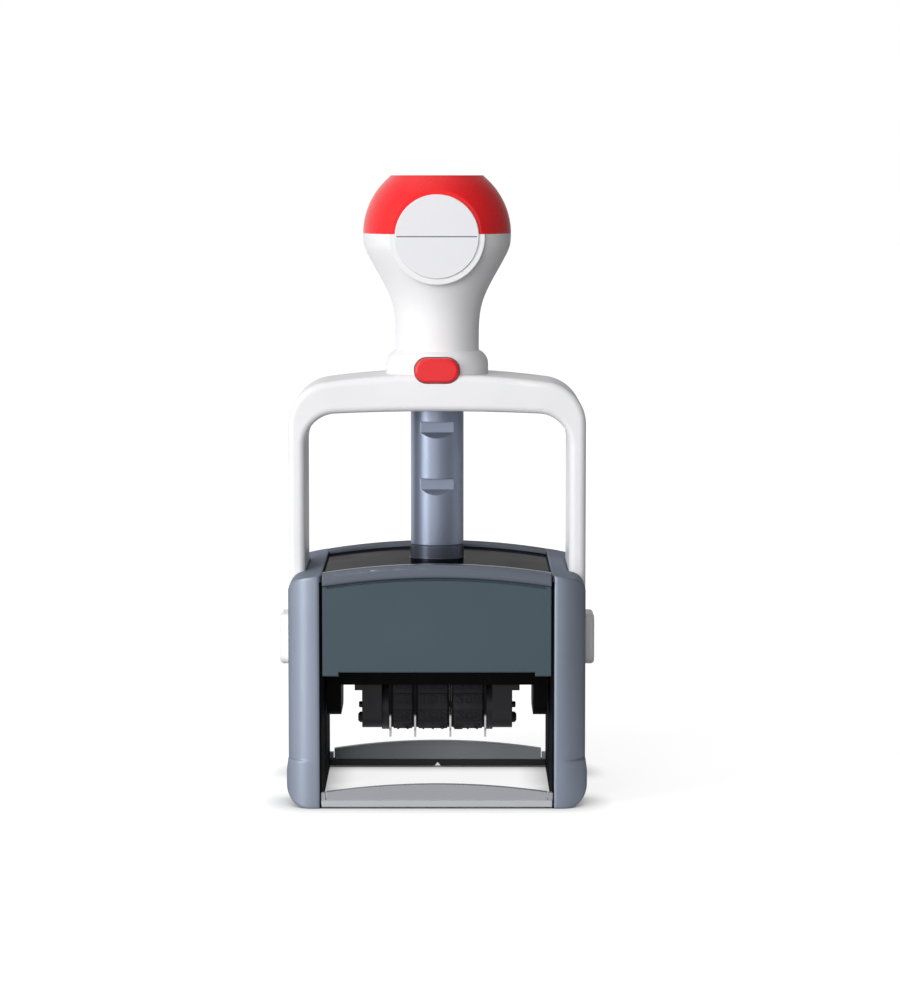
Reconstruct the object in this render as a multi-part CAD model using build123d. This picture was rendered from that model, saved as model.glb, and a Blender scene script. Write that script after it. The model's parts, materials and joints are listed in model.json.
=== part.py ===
from build123d import *
import os
from math import asin, cos, degrees, pi, sin, sqrt

os.makedirs("parts", exist_ok=True)

# Self-inking band stamp. Millimetres, +Z up, front towards -Y. The origin is the
# centre of the base, on the paper. The model is posed with the handle up.

# ---- travel of the handle and the print block ----
stroke = 30.0
print_reach = 10.9            # axle centre to print face
paper_gap = 0.1               # print face above the paper at full stroke
pad_gap = 0.3                 # print face to ink pad with the handle up
lock_half_way = 15.4          # travel at which the middle notch holds

# ---- fits ----
running_clearance = 0.08      # radial, pin or tube in its bore
press_clearance = 0.02        # radial, pin fixed in its hole
slot_clearance = 0.25         # each side of a pin in its slot
sliding_gap = 0.3             # between pieces that slide past each other
guide_gap = 0.2               # between flat guides and what they guide
seat_gap = 0.05               # between curved pieces that are fixed together
merge = 0.1                   # overlap of features that are joined into one piece
past = 1.0                    # how far a cut runs past the face it opens

# ---- side frames ----
throat_half = 28.9            # half the clear width between the side frames
frame_wall = 2.3
post_width = 8.5
frame_half_depth = 31.0
frame_rise = 0.8              # side frames' crest above the roof's
foot_flare = 0.5
foot_flare_z = 8.5
foot_flare_rise = 3.5
foot_corner = 5.5
post_corner = 7.0
post_inner_corner = 1.2
shoulder_corner = 4.0
arch_radius = 185.0
ledge_width = 3.5
ledge_depth = 2.5
ledge_rise = 2.7              # ledge's bottom above the rear panel's
ledge_height = 18.0
ledge_root = 0.2              # how far the ledge runs into the wall
arm_pad_height = 7.5          # guide of the arm, down from the side frame's crest

# ---- axle and cam ----
axle_radius = 2.2
axle_head_radius = 3.5
axle_head_height = 1.0
follower_inset = 2.4          # cam follower below the print face
follower_radius = 1.2

# ---- roof, rear panel and base bars ----
roof_rise = 4.1               # roof's crest above the pad tray
roof_thickness = 1.5
roof_setback = 0.5            # roof's front edge behind the drawer's front
roof_boss_radius = 6.9
roof_boss_rise = 3.4
boss_edge = 0.3
rim_depth = 8.0
rim_height = 20.0
panel_setback = 0.3           # rear panel in from the side frames' rear faces
panel_thickness = 1.9
panel_drop = 7.7              # panels' bottom below the axle
bar_thickness = 3.0
bar_lip_height = 2.1
bar_end_heights = (4.0, 4.9)    # front and rear
bar_crest_heights = (6.0, 7.0)
bar_lip_step = 0.5
bar_end_inset = 1.2
bar_ground_gap = 0.4
mark_half_width = 0.8         # centring mark in the rear bar's lip
mark_height = 0.9
tenon_rise = 0.5              # tenon's bottom above the bar's
tenon_length = 1.8
tenon_height = 3.0
tenon_thickness = 1.6

# ---- centre column ----
column_radius = 6.8
column_bore_radius = 4.5
column_end_gap = 0.6          # column's top to the spring guide at full stroke
column_floor_rise = 1.4       # bore's floor above the roof's boss
spigot_radius = 5.2
nut_radius = 8.5
nut_slot_depth = 1.2
nut_slot_half = 1.0
nut_rise = 0.6                # nut's bottom above the pad tray
notch_floor = 5.3             # distance of the notch's flat from the column's axis
notch_straight = 2.7
column_chamfer = 0.8

# ---- ink drawer ----
drawer_side_gap = 0.3
drawer_setback = 0.8          # drawer's face in from the side frames' front faces
drawer_plate = 1.5
drawer_edge = 0.4
lip_rise = 0.6                # lip's crest above the side frames'
lip_height = 3.6
lip_proud = 0.4               # lip's face in front of the side frames
lip_rounding = 1.2
lip_groove_height = 0.6        # shadow groove under the lip
lip_groove_depth = 0.7
lip_groove_inset = 1.2
finger_cut = 1.0
finger_cut_inset = 4.3
pad_inset = 4.1               # pad's ends in from the side frames
pad_half_width = 12.2
pad_thickness = 2.8
pad_side_gap = 0.1
pad_corner = 1.2
pad_edge = 0.4
tray_wall = 1.3
tray_plate = 1.1
tray_rim_drop = 2.2
tongue_reach = 1.7
tongue_thickness = 1.4
tongue_drop = 1.2             # tongue's bottom below the pad's top
rail_width = 1.9
rail_side_gap = 0.15
rail_top_gap = 0.1

# ---- yoke ----
arm_gap = 2.3                 # arm's inner face to the floor of its channel
arm_thickness = 4.3
arm_half_breadth = 14.0
arm_drop = 8.4                # arm's bottom below the axle
boss_clearance = 4.9          # crossbar above the roof's boss at full stroke
crossbar_height = 9.4
crossbar_radius = 211.0
crossbar_corner = 11.0
window_radius = 566.0
window_corner = 8.0
yoke_rounding = 1.7
collar_radius = 13.1
shoulder_rise = 2.3           # collar's straight side above the crossbar
collar_rise = 5.6
collar_root = 2.0             # how far the collar starts above the window's top

# ---- grip and knob ----
neck_radius = 10.7
neck_height = 3.5             # straight part of the neck above the collar
flare_height = 27.0           # neck to the knob's widest place
knob_radius = 18.9
crown_height = 14.0           # knob's widest place to its top
crown_fullness = 0.24         # share of the crown's taper in its lower half
knob_top_radius = 11.8
knob_edge = 0.6
seam_drop = 0.7               # seam below the knob's widest place
grip_bore_clearance = 0.5
grip_tube_radius = 9.4
grip_tube_drop = 7.0          # tube's top below the knob's
grip_tube_lid = 1.6
knob_hollow_radius = 13.2
knob_hollow_depth = 11.0      # hollow's bottom below the knob's widest place
hollow_point = 2.0            # depth of the hollow's point below its floor
hollow_floor = 1.6
hollow_slope = 5.0
cap_roof = 3.4                # cap's thickness at its top
cap_hollow_shoulder = (3.2, 4.0)  # in from the hollow's side, and down from its top
label_radius = 10.6
label_drop = 1.3              # label's middle below the knob's widest place
label_seat = 15.2             # flat on the knob, distance from the column's axis
label_thickness = 0.8
label_edge = 0.2
label_rim_radius = 12.2
label_rim_step = 0.4
label_rim_edge = 0.35

# ---- return spring ----
spring_radius = 3.4           # to the middle of the wire
wire_radius = 0.45
spring_turns = 12
spring_seat = 0.1
guide_radius = 2.0
guide_tip = 0.5
guide_end_gap = 7.0           # guide's tip above the bore's floor at full stroke
guide_head_radius = 6.6
guide_head = 1.4
screw_radius = 1.5
screw_head_radius = 2.8
screw_head = 1.6
screw_head_edge = 0.4
screw_length = 8.0
screw_end_gap = 0.5
screw_slot = (1.8, 0.35, 0.7)  # half length, half width and depth of the cross

# ---- lock button ----
button_width = 11.3
button_height = 6.3
button_drop = 4.6             # button's middle below the collar's top
button_front = 14.7           # distance of its face from the column's axis
button_back = 11.2
button_rounding = 0.9
button_travel = 1.6
button_floor_gap = 0.4        # behind the button when it is pushed in
latch_half_width = 3.4
latch_height = 2.4
latch_rise = 0.3              # latch's middle above the button's

# ---- pivot caps ----
cap_drop = 8.2                # cap's bottom below the axle
cap_height = 13.0
cap_half_breadth = 6.5
cap_thickness = 2.6
cap_corner = 2.5
cap_rounding = 0.9

# ---- print block ----
block_side_gap = 0.6
cheek_thickness = 3.7
cheek_drop = 20.8             # cheek's bottom below the axle
cheek_top_drop = 0.4          # cheek's top below the print face
cheek_corner = 2.5
block_half_depth = 10.5
block_drop = 12.8             # block frame's bottom below the axle
block_top_drop = 3.7          # block frame's top below the print face
block_wall = 2.6
die_half_depth = 11.0
die_plate_thickness = 1.7
die_relief = 0.9
die_border = 1.2
die_gap = 0.2
cheek_screw_spread = 6.5
cheek_screw_drop = (2.2, 15.5)
cheek_screw_head_radius = 2.0
cheek_screw_head = 1.2
cheek_screw_radius = 1.0
cheek_screw_depth = 3.0
cheek_screw_sink = 0.1        # head below the cheek's face
cheek_screw_slot = (1.4, 0.25, 0.5)
cam_pin_root = 0.7            # from the cheek's inner face to the follower's end
axle_pin_root = 0.3
pin_chamfer = 0.3

# ---- band unit ----
wheel_drop = 19.5             # wheel shaft below the axle
band_wheel_radius = 5.0       # inside of the band where it turns round the wheel
band_nose_radius = 2.9        # inside of the band where it turns round the nose
band_thickness = 0.9
type_relief = 0.5
type_height = 2.5
type_pitch = 3.7
type_inset = 0.4              # type in from the band's edges
type_turns = (-72, -36, 0, 36, 72)
band_shares = (0.2545, 0.375, 0.3705)
band_insets = (2.45, 2.15)    # outer bands in from the end blocks, left and right
divider_thickness = 0.5
divider_gap = 0.1
divider_half_depth = 5.5
divider_reach = 8.1           # wheel shaft to the divider's rounded edge
divider_corner = 3.0
window_gap = 0.3              # dividers to the sides of the type window
window_clearance = 0.5        # type to the front and rear of the type window
end_inset = 5.3               # end block's outer face in from the cheek
end_thickness = 5.1
end_half_depth = 7.5
end_drop = 5.2                # end block's bottom below the wheel shaft
end_corner = 2.6
end_top_drop = 1.5            # end block's top below the block frame's
nose_depth = 4.0              # nose bar's bottom below the nose's centre
nose_gap = 0.1                # nose bar to the band round it
nose_tongue_length = 1.5
flange_reach = 1.9
flange_thickness = 1.9
shaft_radius = 0.8
shaft_overhang = 1.0
shaft_chamfer = 0.2
boss_radius = 1.4
boss_reach = 1.2
boss_drop = 3.3               # boss below the wheel shaft
boss_chamfer = 0.5
wheel_teeth = 16
tooth_groove = 0.45
wheel_side_gap = 0.1

# ---- rear screws ----
rear_screw_radius = 1.2
rear_screw_head_radius = 2.3
rear_screw_head = 0.7
rear_screw_head_edge = 0.3
rear_screw_depth = 1.9
rear_screw_slot = (1.6, 0.3, 0.35)
rear_screw_rises = (6.7, 16.7)  # above the rear panel's bottom

# ---- worked out: heights, from the paper up ----
axle_z = stroke + print_reach + paper_gap
print_z = axle_z + print_reach
follower_reach = print_reach - follower_inset
pad_bottom = print_z + pad_gap
pad_top = pad_bottom + pad_thickness
tray_top = pad_top + tray_plate
tongue_z = pad_top - tongue_drop
roof_crest = tray_top + roof_rise
roof_boss_top = roof_crest + roof_boss_rise
frame_crest = roof_crest + frame_rise
lip_crest = frame_crest + lip_rise
rim_bottom = roof_crest - rim_height
panel_bottom = axle_z - panel_drop
ledge_bottom = panel_bottom + ledge_rise
rear_screw_z = [panel_bottom + rise for rise in rear_screw_rises]
column_floor = roof_boss_top + column_floor_rise
window_crest = roof_boss_top + stroke + boss_clearance
crossbar_crest = window_crest + crossbar_height
arm_bottom = axle_z - arm_drop
cap_bottom = axle_z - cap_drop
collar_shoulder = crossbar_crest + shoulder_rise
collar_top = crossbar_crest + collar_rise
button_z = collar_top - button_drop
latch_z = button_z + latch_rise
neck_straight = collar_top + neck_height
knob_widest = neck_straight + flare_height
knob_top = knob_widest + crown_height
seam_z = knob_widest - seam_drop
label_z = knob_widest - label_drop
knob_hollow_bottom = knob_widest - knob_hollow_depth
cap_hollow_top = knob_top - cap_roof
grip_tube_top = knob_top - grip_tube_drop
column_top = grip_tube_top - guide_head - stroke - column_end_gap
guide_bottom = column_floor + stroke + guide_end_gap
lock_steps = (0.0, lock_half_way, stroke)
cheek_bottom = axle_z - cheek_drop
block_bottom = axle_z - block_drop
block_top = print_z - block_top_drop
die_plate_top = block_top + die_plate_thickness
nose_z = print_z - type_relief - band_thickness - band_nose_radius
wheel_z = axle_z - wheel_drop
divider_bottom = wheel_z - divider_reach
end_bottom = wheel_z - end_drop
boss_z = wheel_z - boss_drop

# ---- worked out: widths, from the middle out ----
cheek_outer = throat_half - block_side_gap
cheek_inner = cheek_outer - cheek_thickness
end_outer = cheek_inner - end_inset
end_inner = end_outer - end_thickness
channel_floor = throat_half + frame_wall
channel_half = arm_half_breadth + sliding_gap
arm_inner = channel_floor + arm_gap
arm_outer = arm_inner + arm_thickness
frame_half_width = throat_half + post_width
drawer_half = throat_half - drawer_side_gap
finger_cut_half = throat_half - finger_cut_inset
pad_half_length = throat_half - pad_inset
tray_half = pad_half_length + pad_side_gap + tray_wall
divider_gaps = divider_thickness + 2 * divider_gap

# ---- worked out: depths, from the middle out ----
panel_inner = frame_half_depth - panel_setback - panel_thickness
bar_inner = frame_half_depth - bar_thickness
drawer_outer = frame_half_depth - drawer_setback
drawer_inner = drawer_outer - drawer_plate
roof_front = drawer_inner - roof_setback
lip_reach = frame_half_depth + lip_proud
tray_rear = panel_inner - ledge_depth - sliding_gap
latch_tip = notch_floor + guide_gap + button_travel
label_face = label_seat + label_thickness


def arch_height(crest, x, radius=arch_radius):
    """Height of an arch of this radius at a distance x from the middle."""
    return crest - radius + sqrt(radius**2 - x**2)


def block(x, y, z):
    """Box between two limits on each axis."""
    size = [high - low for low, high in (x, y, z)]
    centre = [(low + high) / 2 for low, high in (x, y, z)]
    return Pos(*centre) * Box(*size)


def rectangle(x, y):
    """Flat rectangle between two limits on each axis."""
    return Pos(sum(x) / 2, sum(y) / 2) * Rectangle(x[1] - x[0], y[1] - y[0])


def along_x(sketch, low, high):
    """Extrude a sketch of (Y, Z) from one X to another."""
    return extrude(Plane.YZ.offset(low) * sketch, amount=high - low)


def along_y(sketch, low, high):
    """Extrude a sketch of (X, Z) from one Y to another."""
    return extrude(Plane.XZ.offset(-high) * sketch, amount=high - low)


def along_z(sketch, low, high):
    """Extrude a sketch of (X, Y) from one Z to another."""
    return extrude(Plane.XY.offset(low) * sketch, amount=high - low)


def rod_x(radius, low, high, y, z):
    return along_x(Pos(y, z) * Circle(radius), low, high)


def rod_y(radius, low, high, x, z):
    return along_y(Pos(x, z) * Circle(radius), low, high)


def rod_z(radius, low, high):
    return along_z(Circle(radius), low, high)


def under_arch(half, bottom, crest, radius=arch_radius):
    """Sketch of a plate with a flat bottom and an arched top."""
    return rectangle((-half, half), (bottom, crest)) & Pos(0, crest - radius) * Circle(radius)


def other_side(part):
    """The part's mirror image on the left."""
    return mirror(part, about=Plane.YZ)


# ---- frame ----


def cam_slot():
    """Slot that the follower pin sweeps as the block goes down and turns over."""
    steps = 12
    path = Spline(
        *[
            (
                -follower_reach * sin(pi * i / steps),
                axle_z - stroke * i / steps + follower_reach * cos(pi * i / steps),
            )
            for i in range(steps + 1)
        ]
    )
    half = follower_radius + slot_clearance
    ends = [axle_z + follower_reach, axle_z - stroke - follower_reach]
    return trace(path, line_width=2 * half) + [Pos(0, z) * Circle(half) for z in ends]


def axle_slot():
    half = axle_radius + slot_clearance
    ends = [axle_z - stroke, axle_z]
    return rectangle((-half, half), tuple(ends)) + [Pos(0, z) * Circle(half) for z in ends]


def side_frame():
    """Right side frame: a channel open outwards, with the slots in its inner wall."""
    foot_half = frame_half_width + foot_flare
    outline = make_face(
        Polyline(
            (throat_half, 0),
            (foot_half, 0),
            (foot_half, foot_flare_z),
            (frame_half_width, foot_flare_z + foot_flare_rise),
            (frame_half_width, frame_crest),
            (throat_half, frame_crest),
            close=True,
        )
    )
    outline &= Pos(0, frame_crest - arch_radius) * Circle(arch_radius)
    corners = outline.vertices().group_by(Axis.X)
    outline = fillet(corners[-1].sort_by(Axis.Y)[0], foot_corner)
    shoulder = outline.vertices().filter_by_position(Axis.Y, foot_corner * 3, frame_crest)
    outline = fillet(shoulder.group_by(Axis.X)[-1].sort_by(Axis.Y)[-1], shoulder_corner)
    frame = along_z(post_plan(frame_half_width), 0, frame_crest)
    frame += along_z(post_plan(foot_half), 0, foot_flare_z + foot_flare_rise)
    frame += block(
        (channel_floor - merge, arm_inner - sliding_gap),
        (-channel_half - merge, channel_half + merge),
        (frame_crest - arm_pad_height, frame_crest),
    )
    frame &= along_y(outline, -frame_half_depth, frame_half_depth)
    ledge = block(
        (throat_half - ledge_width, throat_half + ledge_root),
        (panel_inner - ledge_depth, panel_inner),
        (ledge_bottom, ledge_bottom + ledge_height),
    )
    frame += ledge
    for z in rear_screw_z:
        depth = rear_screw_depth + merge
        frame -= rod_y(rear_screw_radius, panel_inner - depth, panel_inner, rear_screw_x(), z)
    frame -= along_x(cam_slot() + axle_slot(), throat_half - past, channel_floor)
    for end in (-1, 1):
        frame -= tenon(end, seat_gap)
    return frame


def post_plan(outer):
    """Plan of the side frame: a rounded post in front and behind, and the channel between."""
    plan = rectangle((throat_half, outer), (-frame_half_depth, frame_half_depth))
    plan = fillet(plan.vertices().group_by(Axis.X)[-1], post_corner)
    plan = fillet(plan.vertices().group_by(Axis.X)[0], post_inner_corner)
    return plan - rectangle((channel_floor, outer + past), (-channel_half, channel_half))


def rear_screw_x():
    return throat_half - ledge_width / 2


def tenon(side, extra=0.0):
    """Tongue at the right end of a base bar, in the front (-1) or the rear (1)."""
    middle = side * (bar_inner + bar_thickness / 2)
    low = bar_ground_gap + tenon_rise
    return block(
        (throat_half - past, throat_half + tenon_length + extra),
        (middle - tenon_thickness / 2 - extra, middle + tenon_thickness / 2 + extra),
        (low - extra, low + tenon_height + extra),
    )


def base_bar(side):
    """Arched bar with a lower lip; the rear one has a centring mark."""
    lip = rectangle((-throat_half, throat_half), (bar_ground_gap, bar_lip_height))
    if side > 0:
        corners = [(-mark_half_width, 0), (0, mark_height), (mark_half_width, 0)]
        lip -= make_face(Polyline(*[(x, bar_ground_gap + z) for x, z in corners], close=True))
    half = throat_half - bar_end_inset
    end, crest = bar_end_heights[side > 0], bar_crest_heights[side > 0]
    radius = (half**2 + (crest - end) ** 2) / (2 * (crest - end))
    web = under_arch(half, bar_lip_height - merge, crest, radius)
    low, high = bar_inner, frame_half_depth
    bar = along_y(lip, low, high)
    bar += along_y(web, low + bar_lip_step, high - bar_lip_step)
    bar = bar if side > 0 else mirror(bar, about=Plane.XZ)
    return bar + tenon(side) + other_side(tenon(side))


def top_cover():
    """Arched roof with a boss for the column."""
    shell = under_arch(throat_half - seat_gap, rim_bottom, roof_crest)
    shell -= under_arch(throat_half + past, rim_bottom - past, roof_crest - roof_thickness)
    roof = along_y(shell, -roof_front, panel_inner)
    boss = rod_z(roof_boss_radius, roof_crest - roof_thickness / 2, roof_boss_top)
    roof += chamfer(boss.edges().group_by(Axis.Z)[-1], boss_edge)
    return roof - rod_z(spigot_radius + seat_gap, rim_bottom, roof_boss_top + past)


def rear_panel():
    """Back wall, with a rim that lies over the roof's rear edge."""
    half = throat_half - seat_gap
    wall = along_y(
        under_arch(half, panel_bottom, frame_crest), panel_inner, panel_inner + panel_thickness
    )
    rim = under_arch(half, rim_bottom, frame_crest)
    rim -= under_arch(half + past, rim_bottom - past, roof_crest + seat_gap)
    wall += along_y(rim, frame_half_depth - rim_depth, panel_inner + merge)
    for side in (-1, 1):
        for z in rear_screw_z:
            x = side * rear_screw_x()
            wall -= rod_y(rear_screw_radius + seat_gap, panel_inner - past, frame_half_depth, x, z)
    return wall


def cross_slot(size, low, high):
    """Cross recess for a screwdriver, between two heights."""
    long_half, short_half, _ = size
    return [
        block((-x, x), (-y, y), (low, high))
        for x, y in ((long_half, short_half), (short_half, long_half))
    ]


def rear_screws():
    """Four pan-head screws of the rear panel, as separate solids."""
    head = rod_z(rear_screw_head_radius, 0, rear_screw_head)
    head = fillet(head.edges().group_by(Axis.Z)[-1], rear_screw_head_edge)
    head -= cross_slot(rear_screw_slot, rear_screw_head - rear_screw_slot[2], rear_screw_head + past)
    shank = rod_z(rear_screw_radius - press_clearance, -panel_thickness - rear_screw_depth, merge)
    screw = Rot(-90, 0, 0) * (head + shank)
    outer = panel_inner + panel_thickness
    places = [(side * rear_screw_x(), z) for side in (-1, 1) for z in rear_screw_z]
    return Compound(children=[Pos(x, outer, z) * screw for x, z in places])


def column_notch(travel):
    """Cut that holds the latch after this much travel: flat top, sloped bottom."""
    top = latch_z + latch_height / 2 + sliding_gap - travel
    deep = column_radius + past
    slope = deep - notch_floor
    profile = make_face(
        Polyline(
            (-deep, top),
            (-notch_floor, top),
            (-notch_floor, top - notch_straight),
            (-deep, top - notch_straight - slope),
            close=True,
        )
    )
    return along_x(profile, -deep, deep)


def centre_column():
    """Hollow tube on the roof, with a threaded spigot below and three lock notches."""
    tube = rod_z(column_radius, roof_boss_top, column_top)
    tube = chamfer(tube.edges().group_by(Axis.Z)[-1], column_chamfer)
    tube += rod_z(spigot_radius, nut_bottom(), roof_boss_top + merge)
    tube -= rod_z(column_bore_radius, column_floor, column_top + past)
    for travel in lock_steps:
        tube -= column_notch(travel)
    return tube


def nut_bottom():
    return tray_top + nut_rise


def column_nut():
    """Ring nut under the roof, with four spanner slots."""
    top = arch_height(roof_crest - roof_thickness, nut_radius) - seat_gap
    nut = rod_z(nut_radius, nut_bottom(), top) - rod_z(spigot_radius + seat_gap, 0, top + past)
    slot = block(
        (nut_radius - nut_slot_depth, nut_radius + past),
        (-nut_slot_half, nut_slot_half),
        (nut_bottom() - past, top + past),
    )
    for turn in (45, 135, 225, 315):
        nut -= Rot(0, 0, turn) * slot
    return nut


def roof_end_underside():
    return arch_height(roof_crest - roof_thickness, throat_half)


def drawer_rail():
    """Right rail on the side frame's inner wall, with a groove for the tray's tongue."""
    inner = throat_half - rail_width
    low, high = pad_bottom, roof_end_underside() - rail_top_gap
    rail = block((inner, throat_half), (-roof_front, panel_inner - ledge_depth), (low, high))
    groove = block(
        (inner - past, tray_half + tongue_reach + rail_side_gap),
        (-roof_front - past, panel_inner),
        (tongue_z - guide_gap, tongue_z + tongue_thickness + guide_gap),
    )
    return rail - groove


# ---- ink drawer ----


def drawer_front():
    """Front panel with the arched finger lip along its top."""
    plate = under_arch(drawer_half, panel_bottom, lip_crest - lip_height / 2)
    plate -= rectangle((-finger_cut_half, finger_cut_half), (0, panel_bottom + finger_cut))
    front = along_y(plate, -drawer_outer, -drawer_inner)
    front = fillet(front.edges().group_by(Axis.Y)[0].filter_by(Axis.X), drawer_edge)
    lip_bottom = lip_crest - lip_height
    groove = under_arch(drawer_half - lip_groove_inset, rim_bottom, lip_bottom + merge)
    groove -= under_arch(drawer_half + past, rim_bottom - past, lip_bottom - lip_groove_height)
    front -= along_y(groove, -drawer_outer - past, lip_groove_depth - drawer_outer)
    lip = under_arch(drawer_half, rim_bottom, lip_crest)
    lip -= under_arch(drawer_half + past, rim_bottom - past, lip_bottom)
    lip = along_y(lip, -lip_reach, -drawer_inner)
    arcs = lip.edges().group_by(Axis.Y)[0].filter_by(GeomType.CIRCLE)
    lip = fillet(arcs, lip_rounding)
    return front + lip


def pad_tray():
    """Shallow tray, open downwards round the pad, with a tongue along each side."""
    plate = block((-tray_half, tray_half), (-drawer_inner, tray_rear), (pad_top, tray_top))
    inside = pad_half_length + pad_side_gap
    inside_y = pad_half_width + pad_side_gap
    wall_y = inside_y + tray_wall
    low, high = pad_top - tray_rim_drop, pad_top + merge
    ring = block((-tray_half, tray_half), (-wall_y, wall_y), (low, high))
    ring -= block((-inside, inside), (-inside_y, inside_y), (0, pad_top))
    length = (-roof_front, tray_rear)
    tongue = block(
        (tray_half - merge, tray_half + tongue_reach),
        length,
        (tongue_z, tongue_z + tongue_thickness),
    )
    skirt = block((inside, tray_half), length, (tongue_z, high))
    side = tongue + skirt
    return plate + ring + side + other_side(side)


def ink_pad():
    """Felt pad, face down, with rounded corners."""
    face = RectangleRounded(2 * pad_half_length, 2 * pad_half_width, pad_corner)
    pad = along_z(face, pad_bottom, pad_top)
    return fillet(pad.edges().group_by(Axis.Z)[0], pad_edge)


# ---- handle ----


def yoke():
    """Crossbar, two flat arms and the collar under the grip, in one moulding."""
    outer = under_arch(arm_outer, arm_bottom, crossbar_crest, crossbar_radius)
    outer = fillet(outer.vertices().group_by(Axis.Y)[-1], crossbar_corner)
    window = under_arch(arm_inner, arm_bottom - past, window_crest, window_radius)
    window = fillet(window.vertices().group_by(Axis.Y)[-1], window_corner)
    body = along_y(outer - window, -arm_half_breadth, arm_half_breadth)
    rims = body.edges().group_by(Axis.Y)
    body = fillet(rims[0] + rims[-1], yoke_rounding)
    body += yoke_collar()
    body -= rod_z(column_radius + running_clearance, window_crest - past, collar_top + past)
    floor = button_back - button_travel - button_floor_gap
    pocket = SlotOverall(button_width + 2 * guide_gap, button_height + 2 * guide_gap)
    body -= along_y(Pos(0, button_z) * pocket, -button_front - past, -floor)
    half_height = latch_height / 2 + guide_gap
    body -= block(
        (-latch_half_width - guide_gap, latch_half_width + guide_gap),
        (-floor - past, 0),
        (latch_z - half_height, latch_z + half_height),
    )
    return body - rod_x(axle_radius + press_clearance, -arm_outer, arm_outer, 0, axle_z)


def yoke_collar():
    """Round collar on the crossbar, with a soft shoulder up to the neck."""
    low = window_crest + collar_root
    shoulder = collar_top - collar_shoulder
    outline = make_face(
        [
            Line((0, low), (collar_radius, low)),
            Line((collar_radius, low), (collar_radius, collar_shoulder)),
            ThreePointArc(
                (collar_radius, collar_shoulder),
                (collar_radius - 0.3 * shoulder, collar_top - 0.3 * shoulder),
                (neck_radius, collar_top),
            ),
            Line((neck_radius, collar_top), (0, collar_top)),
            Line((0, collar_top), (0, low)),
        ]
    )
    return revolve(Plane.XZ * outline, Axis.Z)


def axle_pin():
    """Right stub axle, from the cheek through the slot to the outside of the arm."""
    pin = rod_x(axle_radius, cheek_inner + axle_pin_root, arm_outer + merge, 0, axle_z)
    pin = chamfer(pin.edges().group_by(Axis.X)[0], pin_chamfer)
    head = rod_x(axle_head_radius, arm_outer, arm_outer + axle_head_height, 0, axle_z)
    return pin + head


def pivot_cap():
    """Right cap outside the arm, over the head of the axle pin."""
    outline = rectangle((-cap_half_breadth, cap_half_breadth), (cap_bottom, cap_bottom + cap_height))
    outline = fillet(outline.vertices(), cap_corner)
    cap = along_x(outline, arm_outer, arm_outer + cap_thickness)
    cap = fillet(cap.edges().group_by(Axis.X)[-1], cap_rounding)
    recess = arm_outer + axle_head_height + merge
    return cap - rod_x(axle_head_radius + merge, arm_outer - past, recess, 0, axle_z)


def knob_profile():
    """Right half of the grip and knob outline, from the neck to the widest place."""
    swell = knob_radius - neck_radius
    shape = ((0, 0), (0.107, 0.315), (0.524, 0.589), (0.893, 0.796), (1, 1))
    points = [(neck_radius + out * swell, neck_straight + up * flare_height) for out, up in shape]
    return Spline(*points, tangents=((0, 1), (0, 1)))


def knob_solid():
    """Whole knob with its neck, before it is split at the seam."""
    crown = ThreePointArc(
        (knob_radius, knob_widest),
        (knob_radius - crown_fullness * (knob_radius - knob_top_radius), knob_widest + crown_height / 2),
        (knob_top_radius + knob_edge, knob_top - knob_edge),
    )
    outline = make_face(
        [
            Line((0, collar_top), (neck_radius, collar_top)),
            Line((neck_radius, collar_top), (neck_radius, neck_straight)),
            knob_profile(),
            crown,
            Line((knob_top_radius + knob_edge, knob_top - knob_edge), (knob_top_radius, knob_top)),
            Line((knob_top_radius, knob_top), (0, knob_top)),
            Line((0, knob_top), (0, collar_top)),
        ]
    )
    return revolve(Plane.XZ * outline, Axis.Z)


def label_flat():
    """Space in front of the flat that carries the label."""
    return along_y(Pos(0, label_z) * Circle(3 * label_radius), -2 * knob_radius, -label_seat)


def handle_grip():
    """White neck and lower knob, with the guide tube for the column inside."""
    far = 2 * knob_radius
    grip = knob_solid() & block((-far, far), (-far, far), (collar_top, seam_z))
    grip -= label_flat()
    rim = rod_y(label_rim_radius, -label_seat - label_rim_step, -grip_tube_radius, 0, label_z)
    rim = fillet(rim.edges().group_by(Axis.Y)[0], label_rim_edge)
    grip += rim & block((-far, far), (-far, far), (label_z - label_rim_radius, seam_z))
    grip -= rod_y(label_radius + seat_gap, -far, -label_seat, 0, label_z)
    hollow = make_face(
        Polyline(
            (grip_tube_radius, knob_hollow_bottom - hollow_point),
            (grip_tube_radius + hollow_floor, knob_hollow_bottom),
            (knob_hollow_radius, knob_hollow_bottom + hollow_slope),
            (knob_hollow_radius, seam_z),
            (grip_tube_radius, seam_z),
            close=True,
        )
    )
    grip -= revolve(Plane.XZ * hollow, Axis.Z)
    grip += rod_z(grip_tube_radius, seam_z - merge, grip_tube_top + grip_tube_lid)
    grip -= rod_z(column_radius + grip_bore_clearance, collar_top - past, grip_tube_top)
    return grip - rod_z(screw_radius + merge, grip_tube_top - past, knob_top)


def knob_cap():
    """Red upper half of the knob, hollow, round the top of the guide tube."""
    far = 2 * knob_radius
    cap = knob_solid() & block((-far, far), (-far, far), (seam_z, knob_top))
    cap -= label_flat()
    shoulder = knob_hollow_radius - cap_hollow_shoulder[0]
    hollow = make_face(
        Polyline(
            (0, seam_z),
            (knob_hollow_radius, seam_z),
            (knob_hollow_radius, cap_hollow_top - cap_hollow_shoulder[1]),
            (shoulder, cap_hollow_top),
            (0, cap_hollow_top),
            close=True,
        )
    )
    cap -= revolve(Plane.XZ * hollow, Axis.Z)
    return cap - rod_y(label_radius + seat_gap, -far, -label_seat, 0, label_z)


def label_disc():
    """Bare round disc on the front of the knob."""
    disc = rod_y(label_radius, -label_face, -label_seat, 0, label_z)
    return fillet(disc.edges().group_by(Axis.Y)[0], label_edge)


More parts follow.
